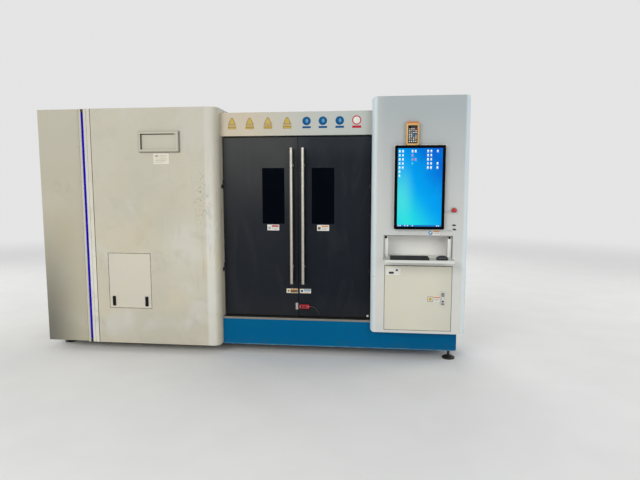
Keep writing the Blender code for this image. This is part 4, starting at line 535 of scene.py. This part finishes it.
BEZEL = moulded("black_bezel", (3, 4, 8), (0.24, 0.34), 0.03, 500, 0.06, seed=2.0)
KEYS = moulded("key_caps", (34, 35, 38), (0.5, 0.65), 0.3, 800, 0.15, seed=3.0)
MOUSE = moulded("mouse_shell", (26, 30, 33), (0.28, 0.4), 0.45, 500, 0.08, seed=4.0)
WHITE = moulded("white_moulding", (222, 222, 218), seed=5.0)
RED = moulded("red_switch", (172, 26, 40), (0.36, 0.5), 0.4, seed=6.0)
STOP = moulded("red_stop", (172, 34, 38), (0.3, 0.42), 0.4, 500, 0.06, seed=7.0)
LEAD = moulded("grey_sheath", (70, 73, 75), (0.45, 0.6), 0.35, 900, 0.1, seed=8.0)
COVER = pendant_cover()
PANE = dark_pane()
STRIP = lit("blue_strip", (8, 4, 60), strip_light)
SCREEN = lit("lit_screen", (0, 2, 8), desktop)


def printed(name, tone, seed, specular=0.35):
    return moulded(name, tone, (0.34, 0.5), specular, 500, 0.04, 0.07, seed)


PALE = printed("print_pale", (216, 214, 206), 1.0)
CREAM = printed("print_cream", (214, 206, 184), 2.0)
YELLOW = printed("print_yellow", (180, 154, 54), 3.0)
BROWN = printed("print_brown", (96, 76, 40), 4.0)
OCHRE = printed("print_ochre", (132, 100, 36), 4.0)
SIGN_BLUE = printed("print_blue", (0, 76, 124), 5.0, 0.12)
LIGHT_BLUE = printed("print_light_blue", (74, 142, 184), 6.0, 0.15)
SIGN_RED = printed("print_red", (178, 26, 50), 7.0, 0.15)
ORANGE = printed("print_orange", (203, 138, 88), 8.0)
INK = printed("print_dark", (38, 36, 42), 9.0)
GREY = printed("print_grey", (158, 160, 158), 10.0)

FINISHES = (
    (BED, "machine_bed control_computer"),
    (BLUE, "base_front_cover console_plinth"),
    (SILL, "sill_strip"),
    (DARK, "foot_front_left foot_rear_left foot_rear_right foot_front_right"),
    (DARK, "hinge_left_lower hinge_left_upper hinge_right_lower hinge_right_upper vertical_slide"),
    (IVORY, "left_front_panel left_side_panel"),
    (ROOF, "left_roof_panel bay_roof rear_panel"),
    (INNER, "left_inner_wall bay_right_wall"),
    (PLATE_IVORY, "nameplate_frame"),
    (STRIP, "led_strip"),
    (SOURCE, "laser_source cutting_head"),
    (HATCH, "service_hatch"),
    (LATCH, "hatch_latch_left hatch_latch_right"),
    (HEADER, "header_panel"),
    (FRAME, "door_frame"),
    (DOORS, "door_left door_right"),
    (PANE, "window_left window_right"),
    (HANDLE, "handle_left handle_right"),
    (RED, "interlock_switch"),
    (TONGUE, "interlock_tongue"),
    (WHITE, "door_bumper"),
    (SLATS, "cutting_table"),
    (RAIL, "rail_left rail_right"),
    (GANTRY, "gantry_beam head_carriage"),
    (COPPER, "nozzle"),
    (CONSOLE, "console_front console_carcass"),
    (NICHE, "keyboard_niche"),
    (FLAP, "keyboard_flap"),
    (BLACK, "keyboard"),
    (MOUSE, "mouse"),
    (BEZEL, "monitor"),
    (SCREEN, "screen"),
    (COVER, "pendant"),
    (LOCK, "estop_collar door_lock lock_lever"),
    (STOP, "estop_button"),
    (CONSOLE_DOOR, "console_door"),
)

for finish, node_names in FINISHES:
    for node_name in node_names.split():
        slots = bpy.data.objects[node_name].data.materials
        for place in range(len(slots)):
            slots[place] = finish


# Shapes of the added pieces

def rectangle(x0, x1, z0, z1):
    return [(x0, z0), (x1, z0), (x1, z1), (x0, z1)]


def rounded(x0, x1, z0, z1, radius, steps=4):
    outline = []
    corners = ((x1 - radius, z0 + radius, -90), (x1 - radius, z1 - radius, 0),
               (x0 + radius, z1 - radius, 90), (x0 + radius, z0 + radius, 180))
    for x, z, start in corners:
        for step in range(steps + 1):
            angle = math.radians(start + 90 * step / steps)
            outline.append((x + radius * math.cos(angle), z + radius * math.sin(angle)))
    return outline


def disc(x, z, radius, points=28):
    return [(x + radius * math.cos(2 * math.pi * step / points), z + radius * math.sin(2 * math.pi * step / points))
            for step in range(points)]


def oval(x, z, half_x, half_z, tilt=0.0, points=20):
    outline = []
    for step in range(points):
        angle = 2 * math.pi * step / points
        a, b = half_x * math.cos(angle), half_z * math.sin(angle)
        outline.append((x + a * math.cos(tilt) - b * math.sin(tilt), z + a * math.sin(tilt) + b * math.cos(tilt)))
    return outline


def bridge(mesh, first, second):
    """The faces between two loops that have the same number of points."""
    sides = [(a, (a + 1) % len(first)) for a in range(len(first))]
    return [mesh.faces.new((first[a], first[b], second[b], second[a])) for a, b in sides]


def solid(name, mesh, materials):
    """An object of a finished mesh, with its faces turned outwards."""
    bmesh.ops.recalc_face_normals(mesh, faces=mesh.faces)
    data = bpy.data.meshes.new(name)
    mesh.to_mesh(data)
    mesh.free()
    for material in materials:
        data.materials.append(material)
    return linked(name, data)


class Sheet:
    """A piece made of thin raised fields on an upright face; every field has its own finish."""

    def __init__(self, name, body):
        self.name = name
        self.body = body
        self.mesh = bmesh.new()
        self.materials = []

    def slot(self, material):
        if material not in self.materials:
            self.materials.append(material)
        return self.materials.index(material)

    def loops(self, rings):
        return [[self.mesh.verts.new(point) for point in ring] for ring in rings]

    def field(self, outline, near, far, material, bevel=0.0):
        """A field with its back at y near and its front at y far; bevel softens the front edge."""
        index = self.slot(material)
        rings = [[(x, near, z) for x, z in outline], [(x, far + bevel, z) for x, z in outline]]
        if bevel:
            centre_x = sum(x for x, _ in outline) / len(outline)
            centre_z = sum(z for _, z in outline) / len(outline)
            share = 1 - bevel / max(abs(x - centre_x) for x, _ in outline)
            rings.append([(centre_x + (x - centre_x) * share, far, centre_z + (z - centre_z) * share)
                          for x, z in outline])
        verts = self.loops(rings)
        faces = [self.mesh.faces.new(verts[-1]), self.mesh.faces.new(list(reversed(verts[0])))]
        for first, second in zip(verts, verts[1:]):
            faces += bridge(self.mesh, first, second)
        for face in faces:
            face.material_index = index

    def hoop(self, rings, material):
        """A closed band through several rings of points."""
        index = self.slot(material)
        verts = self.loops(rings)
        for first, second in zip(verts, verts[1:] + verts[:1]):
            for face in bridge(self.mesh, first, second):
                face.material_index = index

    def ring(self, x, z, outer, inner, near, far, material, points=28):
        edges = ((outer, near), (outer, far), (inner, far), (inner, near))
        self.hoop([[(a, y, b) for a, b in disc(x, z, radius, points)] for radius, y in edges], material)

    def done(self):
        piece = solid(self.name, self.mesh, self.materials)
        piece.data.shade_smooth()
        piece.data.set_sharp_from_angle(angle=SHARP_EDGE)
        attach(piece, self.body)


def layered(y, layer):
    """The back and front of a printed layer that lies on the face at y."""
    if layer == 0:
        return y, y - STICKER
    return y - STICKER, y - STICKER - PRINT * layer


# Signs on the header: plain fields of colour over plain bars

def yellow_sign(name, x0, x1):
    """A cut-off triangle with a darker edge, over a bar of two tones."""
    sign = Sheet(name, "base")
    middle, half = (x0 + x1) / 2, (x1 - x0) / 2
    edge, face = (*layered(HEADER_Y, 0), OCHRE), (*layered(HEADER_Y, 1), YELLOW)
    for foot_half, top_half, foot, top, layer in ((half, half * 0.24, 2.049, 2.108, edge),
                                                  (half - 0.0099, half * 0.20, 2.0545, 2.1025, face)):
        sign.field([(middle - foot_half, foot), (middle + foot_half, foot),
                    (middle + top_half, top), (middle - top_half, top)], *layer)
    for inset, foot, top, radius, layer in ((0, 2.012, 2.044, 0.004, edge), (0.003, 2.030, 2.041, 0.002, face),
                                            (0.003, 2.015, 2.024, 0.002, face)):
        sign.field(rounded(x0 + inset, x1 - inset, foot, top, radius), *layer)
    sign.done()


def blue_sign(name, x0, x1):
    sign = Sheet(name, "base")
    middle, half = (x0 + x1) / 2, (x1 - x0) / 2
    sign.field(disc(middle, 2.074, half), *layered(HEADER_Y, 0), SIGN_BLUE)
    sign.field(oval(middle + 0.003, 2.076, half * 0.34, half * 0.46), *layered(HEADER_Y, 1), LIGHT_BLUE)
    sign.field(rounded(x0, x1, 2.012, 2.030, 0.003), *layered(HEADER_Y, 0), SIGN_BLUE)
    sign.done()


def red_sign(name, x0, x1):
    sign = Sheet(name, "base")
    middle, half = (x0 + x1) / 2, (x1 - x0) / 2
    sign.field(disc(middle, 2.076, half - 0.002), *layered(HEADER_Y, 0), PALE)
    near, far = layered(HEADER_Y, 1)
    sign.ring(middle, 2.076, half, half - 0.009, near + STICKER, far, SIGN_RED)
    sign.field(rounded(x0, x1, 2.010, 2.030, 0.003), *layered(HEADER_Y, 0), SIGN_RED)
    sign.done()


for number, (low, high) in enumerate(((-0.1715, -0.0995), (-0.0125, 0.0615),
                                      (0.1495, 0.2245), (0.3205, 0.3945)), 1):
    yellow_sign(f"yellow_field_{number}", low, high)
for number, (low, high) in enumerate(((0.4915, 0.5655), (0.6335, 0.7075), (0.7795, 0.8535)), 1):
    blue_sign(f"blue_field_{number}", low, high)
red_sign("red_field", 0.9235, 1.0015)


# Printed plates elsewhere

def plate(name, body, y, box, fields, radius=0.002, base=PALE):
    """A thin plate with fields, each (outline, layer, finish)."""
    sheet = Sheet(name, body)
    sheet.field(rounded(*box, radius), *layered(y, 0), base)
    for outline, layer, material in fields:
        sheet.field(outline, *layered(y, layer), material)
    sheet.done()


plate("data_plate", "base", FRONT_Y, (-0.8125, -0.6735, 1.707, 1.797), [
    (rounded(-0.808, -0.678, 1.7115, 1.7925, 0.002), 1, CREAM),
    (rectangle(-0.800, -0.768, 1.766, 1.785), 2, GREY),
    (rectangle(-0.758, -0.690, 1.776, 1.780), 2, GREY),
    (rectangle(-0.758, -0.704, 1.766, 1.769), 2, GREY),
    (rectangle(-0.800, -0.690, 1.748, 1.752), 2, GREY),
    (rectangle(-0.800, -0.700, 1.735, 1.739), 2, GREY),
    (rectangle(-0.800, -0.720, 1.721, 1.725), 2, GREY)])

for side, body, low, high in (("left", "left_door", 0.1665, 0.2745), ("right", "right_door", 0.6165, 0.7235)):
    plate(f"window_plate_{side}", body, DOOR_Y, (low, high, 1.118, 1.170), [
        (rounded(low + 0.008, low + 0.031, 1.128, 1.152, 0.004), 1, GREY if side == "left" else BROWN),
        (rectangle(low + 0.040, high - 0.006, 1.150, 1.164), 1, SIGN_RED if side == "left" else ORANGE),
        (rectangle(low + 0.040, high - 0.012, 1.138, 1.142), 1, GREY),
        (rectangle(low + 0.040, high - 0.020, 1.128, 1.132), 1, GREY)])

plate("grip_plate_left", "left_door", DOOR_Y, (0.3375, 0.4415, 0.550, 0.590), [
    (disc(0.3560, 0.5700, 0.0090), 1, BROWN),
    (rectangle(0.3740, 0.4400, 0.5780, 0.5865), 1, ORANGE),
    (rectangle(0.3740, 0.4400, 0.5550, 0.5780), 1, BROWN)], base=CREAM)

plate("grip_plate_right", "right_door", DOOR_Y, (0.4595, 0.5605, 0.550, 0.590), [
    (disc(0.4780, 0.5700, 0.0115), 1, SIGN_BLUE),
    (rectangle(0.4960, 0.5570, 0.5740, 0.5850), 1, LIGHT_BLUE),
    (rectangle(0.4960, 0.5520, 0.5640, 0.5680), 1, GREY),
    (rectangle(0.4960, 0.5450, 0.5560, 0.5590), 1, GREY)], base=CREAM)


def switch_marks():
    """Dark fields and two screw heads on the face of the door switch."""
    marks = Sheet("switch_marks", "right_door")
    face = -0.6853
    marks.field(rounded(0.4720, 0.4880, 0.4205, 0.4435, 0.003), face, face - 0.0004, INK)
    marks.field(rounded(0.4980, 0.5230, 0.4335, 0.4425, 0.003), face, face - 0.0004, INK)
    marks.field(rounded(0.4980, 0.5180, 0.4210, 0.4280, 0.003), face, face - 0.0004, INK)
    for x in (0.4650, 0.5390):
        marks.field(disc(x, 0.432, 0.0034, 16), face, face - 0.0010, LOCK, 0.0004)
    marks.done()


switch_marks()

plate("monitor_plate", "base", FRONT_Y, (1.5675, 1.6695, 1.101, 1.142), [
    (disc(1.5900, 1.1215, 0.0190), 1, LIGHT_BLUE),
    (oval(1.5910, 1.1235, 0.0120, 0.0060, 0.9), 2, PALE),
    (rectangle(1.6150, 1.6665, 1.1280, 1.1400), 1, ORANGE),
    (rectangle(1.6180, 1.6620, 1.1160, 1.1200), 1, GREY)], 0.003)

plate("door_plate", "lower_door", FRONT_Y, (1.2235, 1.3535, 0.753, 0.827), [
    (rounded(1.2250, 1.3520, 0.7545, 0.8255, 0.002), 1, PALE),
    (rounded(1.2500, 1.2920, 0.768, 0.787, 0.005), 2, INK),
    (disc(1.3175, 0.800, 0.0095), 2, INK),
    (rectangle(1.3000, 1.3120, 0.7935, 0.7955), 2, GREY)], base=GREY)

plate("lock_plate", "lower_door", FRONT_Y, (1.5765, 1.6835, 0.532, 0.580), [
    (rounded(1.5785, 1.6265, 0.534, 0.578, 0.003), 1, INK),
    (rounded(1.5815, 1.6235, 0.537, 0.575, 0.002), 2, CREAM),
    (rounded(1.5920, 1.6130, 0.544, 0.566, 0.004), 3, YELLOW),
    (rectangle(1.6300, 1.6815, 0.566, 0.577), 1, ORANGE),
    (rectangle(1.6330, 1.6760, 0.552, 0.556), 1, GREY),
    (rectangle(1.6330, 1.6680, 0.543, 0.546), 1, GREY)])


# Small parts of the console

def usb_port(name, x, z, tilt):
    port = Sheet(name, "base")
    port.field(oval(x, z, 0.0165, 0.0075, tilt), FRONT_Y, FRONT_Y - 0.0012, BLACK, 0.0008)
    port.field(oval(x, z, 0.0105, 0.0032, tilt), FRONT_Y - 0.0012, FRONT_Y - 0.0015, INK)
    port.done()


usb_port("port_upper", 1.7825, 1.187, 0.0)
usb_port("port_lower", 1.7865, 1.152, -0.25)


def lever_details():
    """The key barrel near the lever's foot and the dark finger dish at its head."""
    parts = Sheet("lever_details", "lever")
    face, x = -0.8196, 1.7055
    parts.field(rounded(x - 0.0110, x + 0.0110, 0.584, 0.612, 0.005), face, face - 0.0006, INK, 0.0004)
    parts.field(rounded(x - 0.0050, x + 0.0050, 0.592, 0.603, 0.003), face - 0.0006, face - 0.0010, LOCK)
    parts.ring(x, 0.541, 0.0110, 0.0088, face, face - 0.0012, LOCK, 20)
    parts.field(disc(x, 0.541, 0.0088, 20), face, face - 0.0006, INK)
    parts.field(rounded(x - 0.0110, x + 0.0110, 0.5145, 0.5240, 0.002), face, face - 0.0005, INK)
    parts.done()


lever_details()


def monitor_rim():
    """The pale gasket that shows round the monitor."""
    rim = Sheet("monitor_rim", "base")
    outer = rounded(1.2785, 1.7035, 1.146, 1.852, 0.008)
    inner = rounded(1.2900, 1.6920, 1.1575, 1.8405, 0.004)
    front = FRONT_Y - 0.0030
    edges = ((outer, FRONT_Y), (outer, front), (inner, front), (inner, FRONT_Y))
    rim.hoop([[(x, y, z) for x, z in outline] for outline, y in edges], PALE)
    rim.done()


monitor_rim()


def mark(name, tone, strength=1.0):
    """The finish of a mark on the screen: one lit tone, slightly uneven."""
    dimmer = [int(channel * 0.82) for channel in tone]
    return lit(name, (10, 20, 30), lambda glow: glow.mix(glow.span(glow.noise(220, 2), 0.4, 0.6, 0.0, 0.35),
                                                         srgb(*tone), srgb(*dimmer)), strength)


def screen_marks():
    """Small marks on the lit screen and a bar of dots at its foot."""
    sheet = Sheet("screen_marks", "base")
    left, width, top, bottom, glass = 1.3098, 0.3624, 1.8207, 1.1773, -0.8458
    pale, teal = mark("mark_pale", (232, 240, 246), 1.3), mark("mark_teal", (90, 214, 226))
    rose, bar = mark("mark_rose", (206, 150, 196)), mark("mark_bar", (30, 120, 196))
    columns = ((0.040, range(7)), (0.112, range(5)), (0.325, range(4)), (0.395, (0, 2)),
               (0.672, range(5)), (0.744, range(5)), (0.886, (0, 3, 4)))
    rng = random.Random(7)
    for share, rows in columns:
        for row in rows:
            x, z = left + share * width, top - 0.021 - row * 0.0335
            look = pale
            if share in (0.325, 0.395) and row:
                look = teal if row == 3 else rose
            half = 0.0058 + rng.random() * 0.0012
            for outline in (rounded(x - half, x + half, z - half * 1.1, z + half * 1.1, 0.0028, 3),
                            rectangle(x - half * 1.2, x + half * 1.2, z - half * 2.0, z - half * 1.55)):
                sheet.field(outline, glass, glass - 0.0002, look)
    sheet.field(rectangle(left, left + width, bottom, bottom + 0.013), glass, glass - 0.0001, bar)
    for share in (0.03, 0.075, 0.18, 0.24, 0.35, 0.90, 0.94):
        x = left + share * width
        sheet.field(rounded(x - 0.0045, x + 0.0045, bottom + 0.0025, bottom + 0.0105, 0.002, 2),
                    glass - 0.0001, glass - 0.0003, pale)
    sheet.done()


screen_marks()


def pendant_keys():
    """A dark key field with four columns of small keys, a little window above them and a red key."""
    sheet = Sheet("pendant_keys", "base")
    floor, face = -0.8483, -0.8493
    x0, x1, z0, z1 = 1.3885, 1.4645, 1.8595, 2.0065
    sheet.field(rounded(x0, x1, z0, z1, 0.004), floor, face, BLACK, 0.0004)
    sheet.field(rounded(x0 + 0.006, x0 + 0.022, 1.984, 2.000, 0.002), face, face - 0.0004, BEZEL)
    tinted = {(0, 3): SIGN_RED, (3, 2): LIGHT_BLUE, (3, 3): LIGHT_BLUE, (4, 2): LIGHT_BLUE, (6, 3): YELLOW}
    rng = random.Random(3)
    for row in range(8):
        for column in range(4):
            x, z = x0 + 0.0125 + column * 0.0170, z1 - 0.0300 - row * 0.0145
            plain = GREY if rng.random() < 0.35 else PALE
            sheet.field(rounded(x - 0.0048, x + 0.0048, z - 0.0042, z + 0.0042, 0.0016, 3),
                        face, face - 0.0012, tinted.get((row, column), plain), 0.0004)
    sheet.done()


pendant_keys()


def niche_catch(name, x):
    catch = Sheet(name, "base")
    flange = -0.7780
    catch.field(disc(x, 1.079, 0.0110, 24), flange, flange - 0.0034, BLACK, 0.0010)
    catch.field(disc(x, 1.079, 0.0045, 16), flange - 0.0034, flange - 0.0040, BEZEL)
    catch.done()


niche_catch("niche_catch_left", 1.2225)
niche_catch("niche_catch_right", 1.7515)


def strip_cap(name, z0, z1):
    cap = Sheet(name, "base")
    cap.field(rounded(-1.4748, -1.4522, z0, z1, 0.003), -0.7932, -0.8030, BLACK, 0.0015)
    cap.done()


strip_cap("strip_cap_lower", 0.084, 0.1136)
strip_cap("strip_cap_upper", 2.1614, 2.191)


def key_caps():
    """Five rows of caps with dished tops, on the slope of the keyboard."""
    y0, depth, x0, width, z0 = -0.977, 0.125, 1.2545, 0.315, 0.9193
    rim, pitch, cells = 0.0075, 0.022, 17
    lift, slope = 0.0032, 0.0016
    unit, start = (width - 0.014) / cells, x0 + 0.007
    mesh = bmesh.new()
    rng = random.Random(11)

    def top(y):
        return z0 + 0.014 * (y - y0) / depth

    for row in range(5):
        near = y0 + rim + row * pitch + 0.0020
        far = near + pitch - 0.0040
        cell = 0
        while cell < cells:
            span = 1
            if row == 0 and cell == 5:
                span = 6
            elif cell == 0 and row in (0, 1, 2):
                span = 1 + (row > 0)
            elif rng.random() < 0.06 and cell < cells - 1:
                span = 2
            span = min(span, cells - cell)
            a, b = start + cell * unit + 0.0010, start + (cell + span) * unit - 0.0010
            foot = [(a, near, top(near)), (b, near, top(near)), (b, far, top(far)), (a, far, top(far))]
            crown = [(a + slope, near + slope, top(near) + lift), (b - slope, near + slope, top(near) + lift),
                     (b - slope, far - slope * 0.6, top(far) + lift), (a + slope, far - slope * 0.6, top(far) + lift)]
            low = [mesh.verts.new((x, y, z - 0.0004)) for x, y, z in foot]
            high = [mesh.verts.new(point) for point in crown]
            dish = mesh.verts.new(((a + b) / 2, (near + far) / 2, (top(near) + top(far)) / 2 + lift - 0.0006))
            mesh.faces.new(list(reversed(low)))
            bridge(mesh, low, high)
            for corner_highlight in range(4):
                mesh.faces.new((high[corner_highlight], high[(corner_highlight + 1) % 4], dish))
            cell += span
    caps = solid("key_caps", mesh, [KEYS])
    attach(caps, "flap")


key_caps()


def mouse_wheel():
    """The wheel between the buttons, which lie towards the left end of the mouse."""
    mesh = bmesh.new()
    x, y, z, radius, half = 1.6500, -0.9145, 0.9352, 0.0085, 0.003
    loops = []
    for offset, share in ((-half, 0.8), (-half * 0.6, 1.0), (half * 0.6, 1.0), (half, 0.8)):
        loops.append([mesh.verts.new((a, y + offset, b)) for a, b in disc(x, z, radius * share, 20)])
    for first, second in zip(loops, loops[1:]):
        bridge(mesh, first, second)
    mesh.faces.new(loops[0])
    mesh.faces.new(loops[-1])
    wheel = solid("mouse_wheel", mesh, [GREY])
    wheel.data.shade_smooth()
    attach(wheel, "flap")


mouse_wheel()


# The lead of the door switch: out of its gland, down, and into the door leaf

def lead_route():
    """The same route as the part's own lead."""
    start = Vector((0.5578, -0.6703, 0.432))
    route = ((0, 0), (0.015, -0.001), (0.035, -0.009), (0.054, -0.024), (0.068, -0.043), (0.077, -0.064))
    knots = [start + Vector((x, 0, z)) for x, z in route]
    knots = [2 * knots[0] - knots[1]] + knots + [2 * knots[-1] - knots[-2]]
    points = []
    for place in range(1, len(knots) - 2):
        before, first, second, after = knots[place - 1:place + 3]
        for step in range(3):
            t = step / 3
            points.append(0.5 * (2 * first + (second - before) * t
                                 + (2 * before - 5 * first + 4 * second - after) * t ** 2
                                 + (3 * first - before - 3 * second + after) * t ** 3))
    points.append(knots[-2])
    direction = (points[-1] - points[-2]).normalized()
    inward = Vector((0, 1, 0))
    bend = 0.012
    end = points[-1]
    for step in range(1, 6):
        angle = math.radians(18 * step)
        points.append(end + bend * (math.sin(angle) * direction + (1 - math.cos(angle)) * inward))
    points.append(Vector((points[-1].x, -0.6553, points[-1].z)))
    return points


def lead():
    points = lead_route()
    curve = bpy.data.curves.new("switch_lead", "CURVE")
    curve.dimensions = "3D"
    curve.bevel_depth = 0.0022
    curve.bevel_resolution = 3
    curve.use_fill_caps = True
    spline = curve.splines.new("POLY")
    spline.points.add(len(points) - 1)
    for target, point in zip(spline.points, points):
        target.co = (*point, 1.0)
    curve.materials.append(LEAD)
    piece = linked("switch_lead", curve)
    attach(piece, "right_door")
    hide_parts("interlock_lead")


lead()


# Floor, world and lights

BACKDROP = (0.78, 0.78, 0.78, 1.0)  # linear colour of what lies behind the machine
FLOOR_REACH = 60
FADE_FROM, FADE_TO = 3.4, 13.0  # the floor turns into the backdrop between these distances


def add_floor():
    mesh = bmesh.new()
    bmesh.ops.create_grid(mesh, x_segments=2, y_segments=2, size=FLOOR_REACH)
    data = bpy.data.meshes.new("floor")
    mesh.to_mesh(data)
    mesh.free()
    floor = linked("floor", data)
    ground = Finish("pale_floor", roughness=0.75, specular=0.2)
    look = ground.mix(ground.span(ground.noise(2.6, 3), 0.3, 0.7), srgb(234, 234, 232), srgb(231, 231, 229))
    ground.bump(ground.noise(40, 4), 0.1, 0.001)
    glow = ground.node("ShaderNodeEmission", {"Color": BACKDROP, "Strength": 1.0}).outputs["Emission"]
    far = ground.span(ground.length(ground.position), FADE_FROM, FADE_TO)
    blend = ground.node("ShaderNodeMixShader", {0: far, 1: ground.shader.outputs["BSDF"], 2: glow})
    ground.feed(ground.tree.nodes["Material Output"].inputs["Surface"], blend.outputs["Shader"])
    data.materials.append(ground.made(look))


def add_world():
    """A soft bluish light; what the camera and the glossy surfaces see of it is the backdrop."""
    world = bpy.data.worlds.new("studio")
    world.use_nodes = True
    nodes, links = world.node_tree.nodes, world.node_tree.links
    light = nodes["Background"]
    light.inputs["Color"].default_value = (0.97, 0.98, 1.0, 1.0)
    light.inputs["Strength"].default_value = 0.43
    seen = nodes.new("ShaderNodeBackground")
    seen.inputs["Color"].default_value = BACKDROP
    seen.inputs["Strength"].default_value = 1.0
    path = nodes.new("ShaderNodeLightPath")
    share = path.outputs["Is Camera Ray"]
    for ray in ("Is Glossy Ray", "Is Transmission Ray"):
        either = nodes.new("ShaderNodeMath")
        either.operation = "MAXIMUM"
        links.new(share, either.inputs[0])
        links.new(path.outputs[ray], either.inputs[1])
        share = either.outputs["Value"]
    blend = nodes.new("ShaderNodeMixShader")
    for place, output in enumerate((share, light.outputs["Background"], seen.outputs["Background"])):
        links.new(output, blend.inputs[place])
    links.new(blend.outputs["Shader"], nodes["World Output"].inputs["Surface"])
    bpy.context.scene.world = world


def add_area(name, place, target, size, power):
    data = bpy.data.lights.new(name, "AREA")
    data.shape = "RECTANGLE"
    data.size, data.size_y = size
    data.energy = power
    lamp = linked(name, data)
    lamp.location = place
    lamp.rotation_euler = (Vector(target) - Vector(place)).to_track_quat("-Z", "Y").to_euler()


add_floor()
add_world()
add_area("key", (-2.4, -7.2, 4.0), (0, -0.7, 1.0), (4.5, 3.0), 228)
add_area("fill", (4.2, -6.6, 2.2), (0.6, -0.7, 0.9), (3.5, 3.0), 110)
add_area("rear", (0.5, 6.5, 5.2), (0, 0.9, 1.0), (5.0, 3.0), 240)
add_area("left", (-7.5, 1.2, 3.2), (-1.9, 0.2, 1.0), (4.0, 3.0), 112)
add_area("right", (7.5, 1.2, 3.2), (1.9, 0.0, 1.0), (4.0, 3.0), 92)
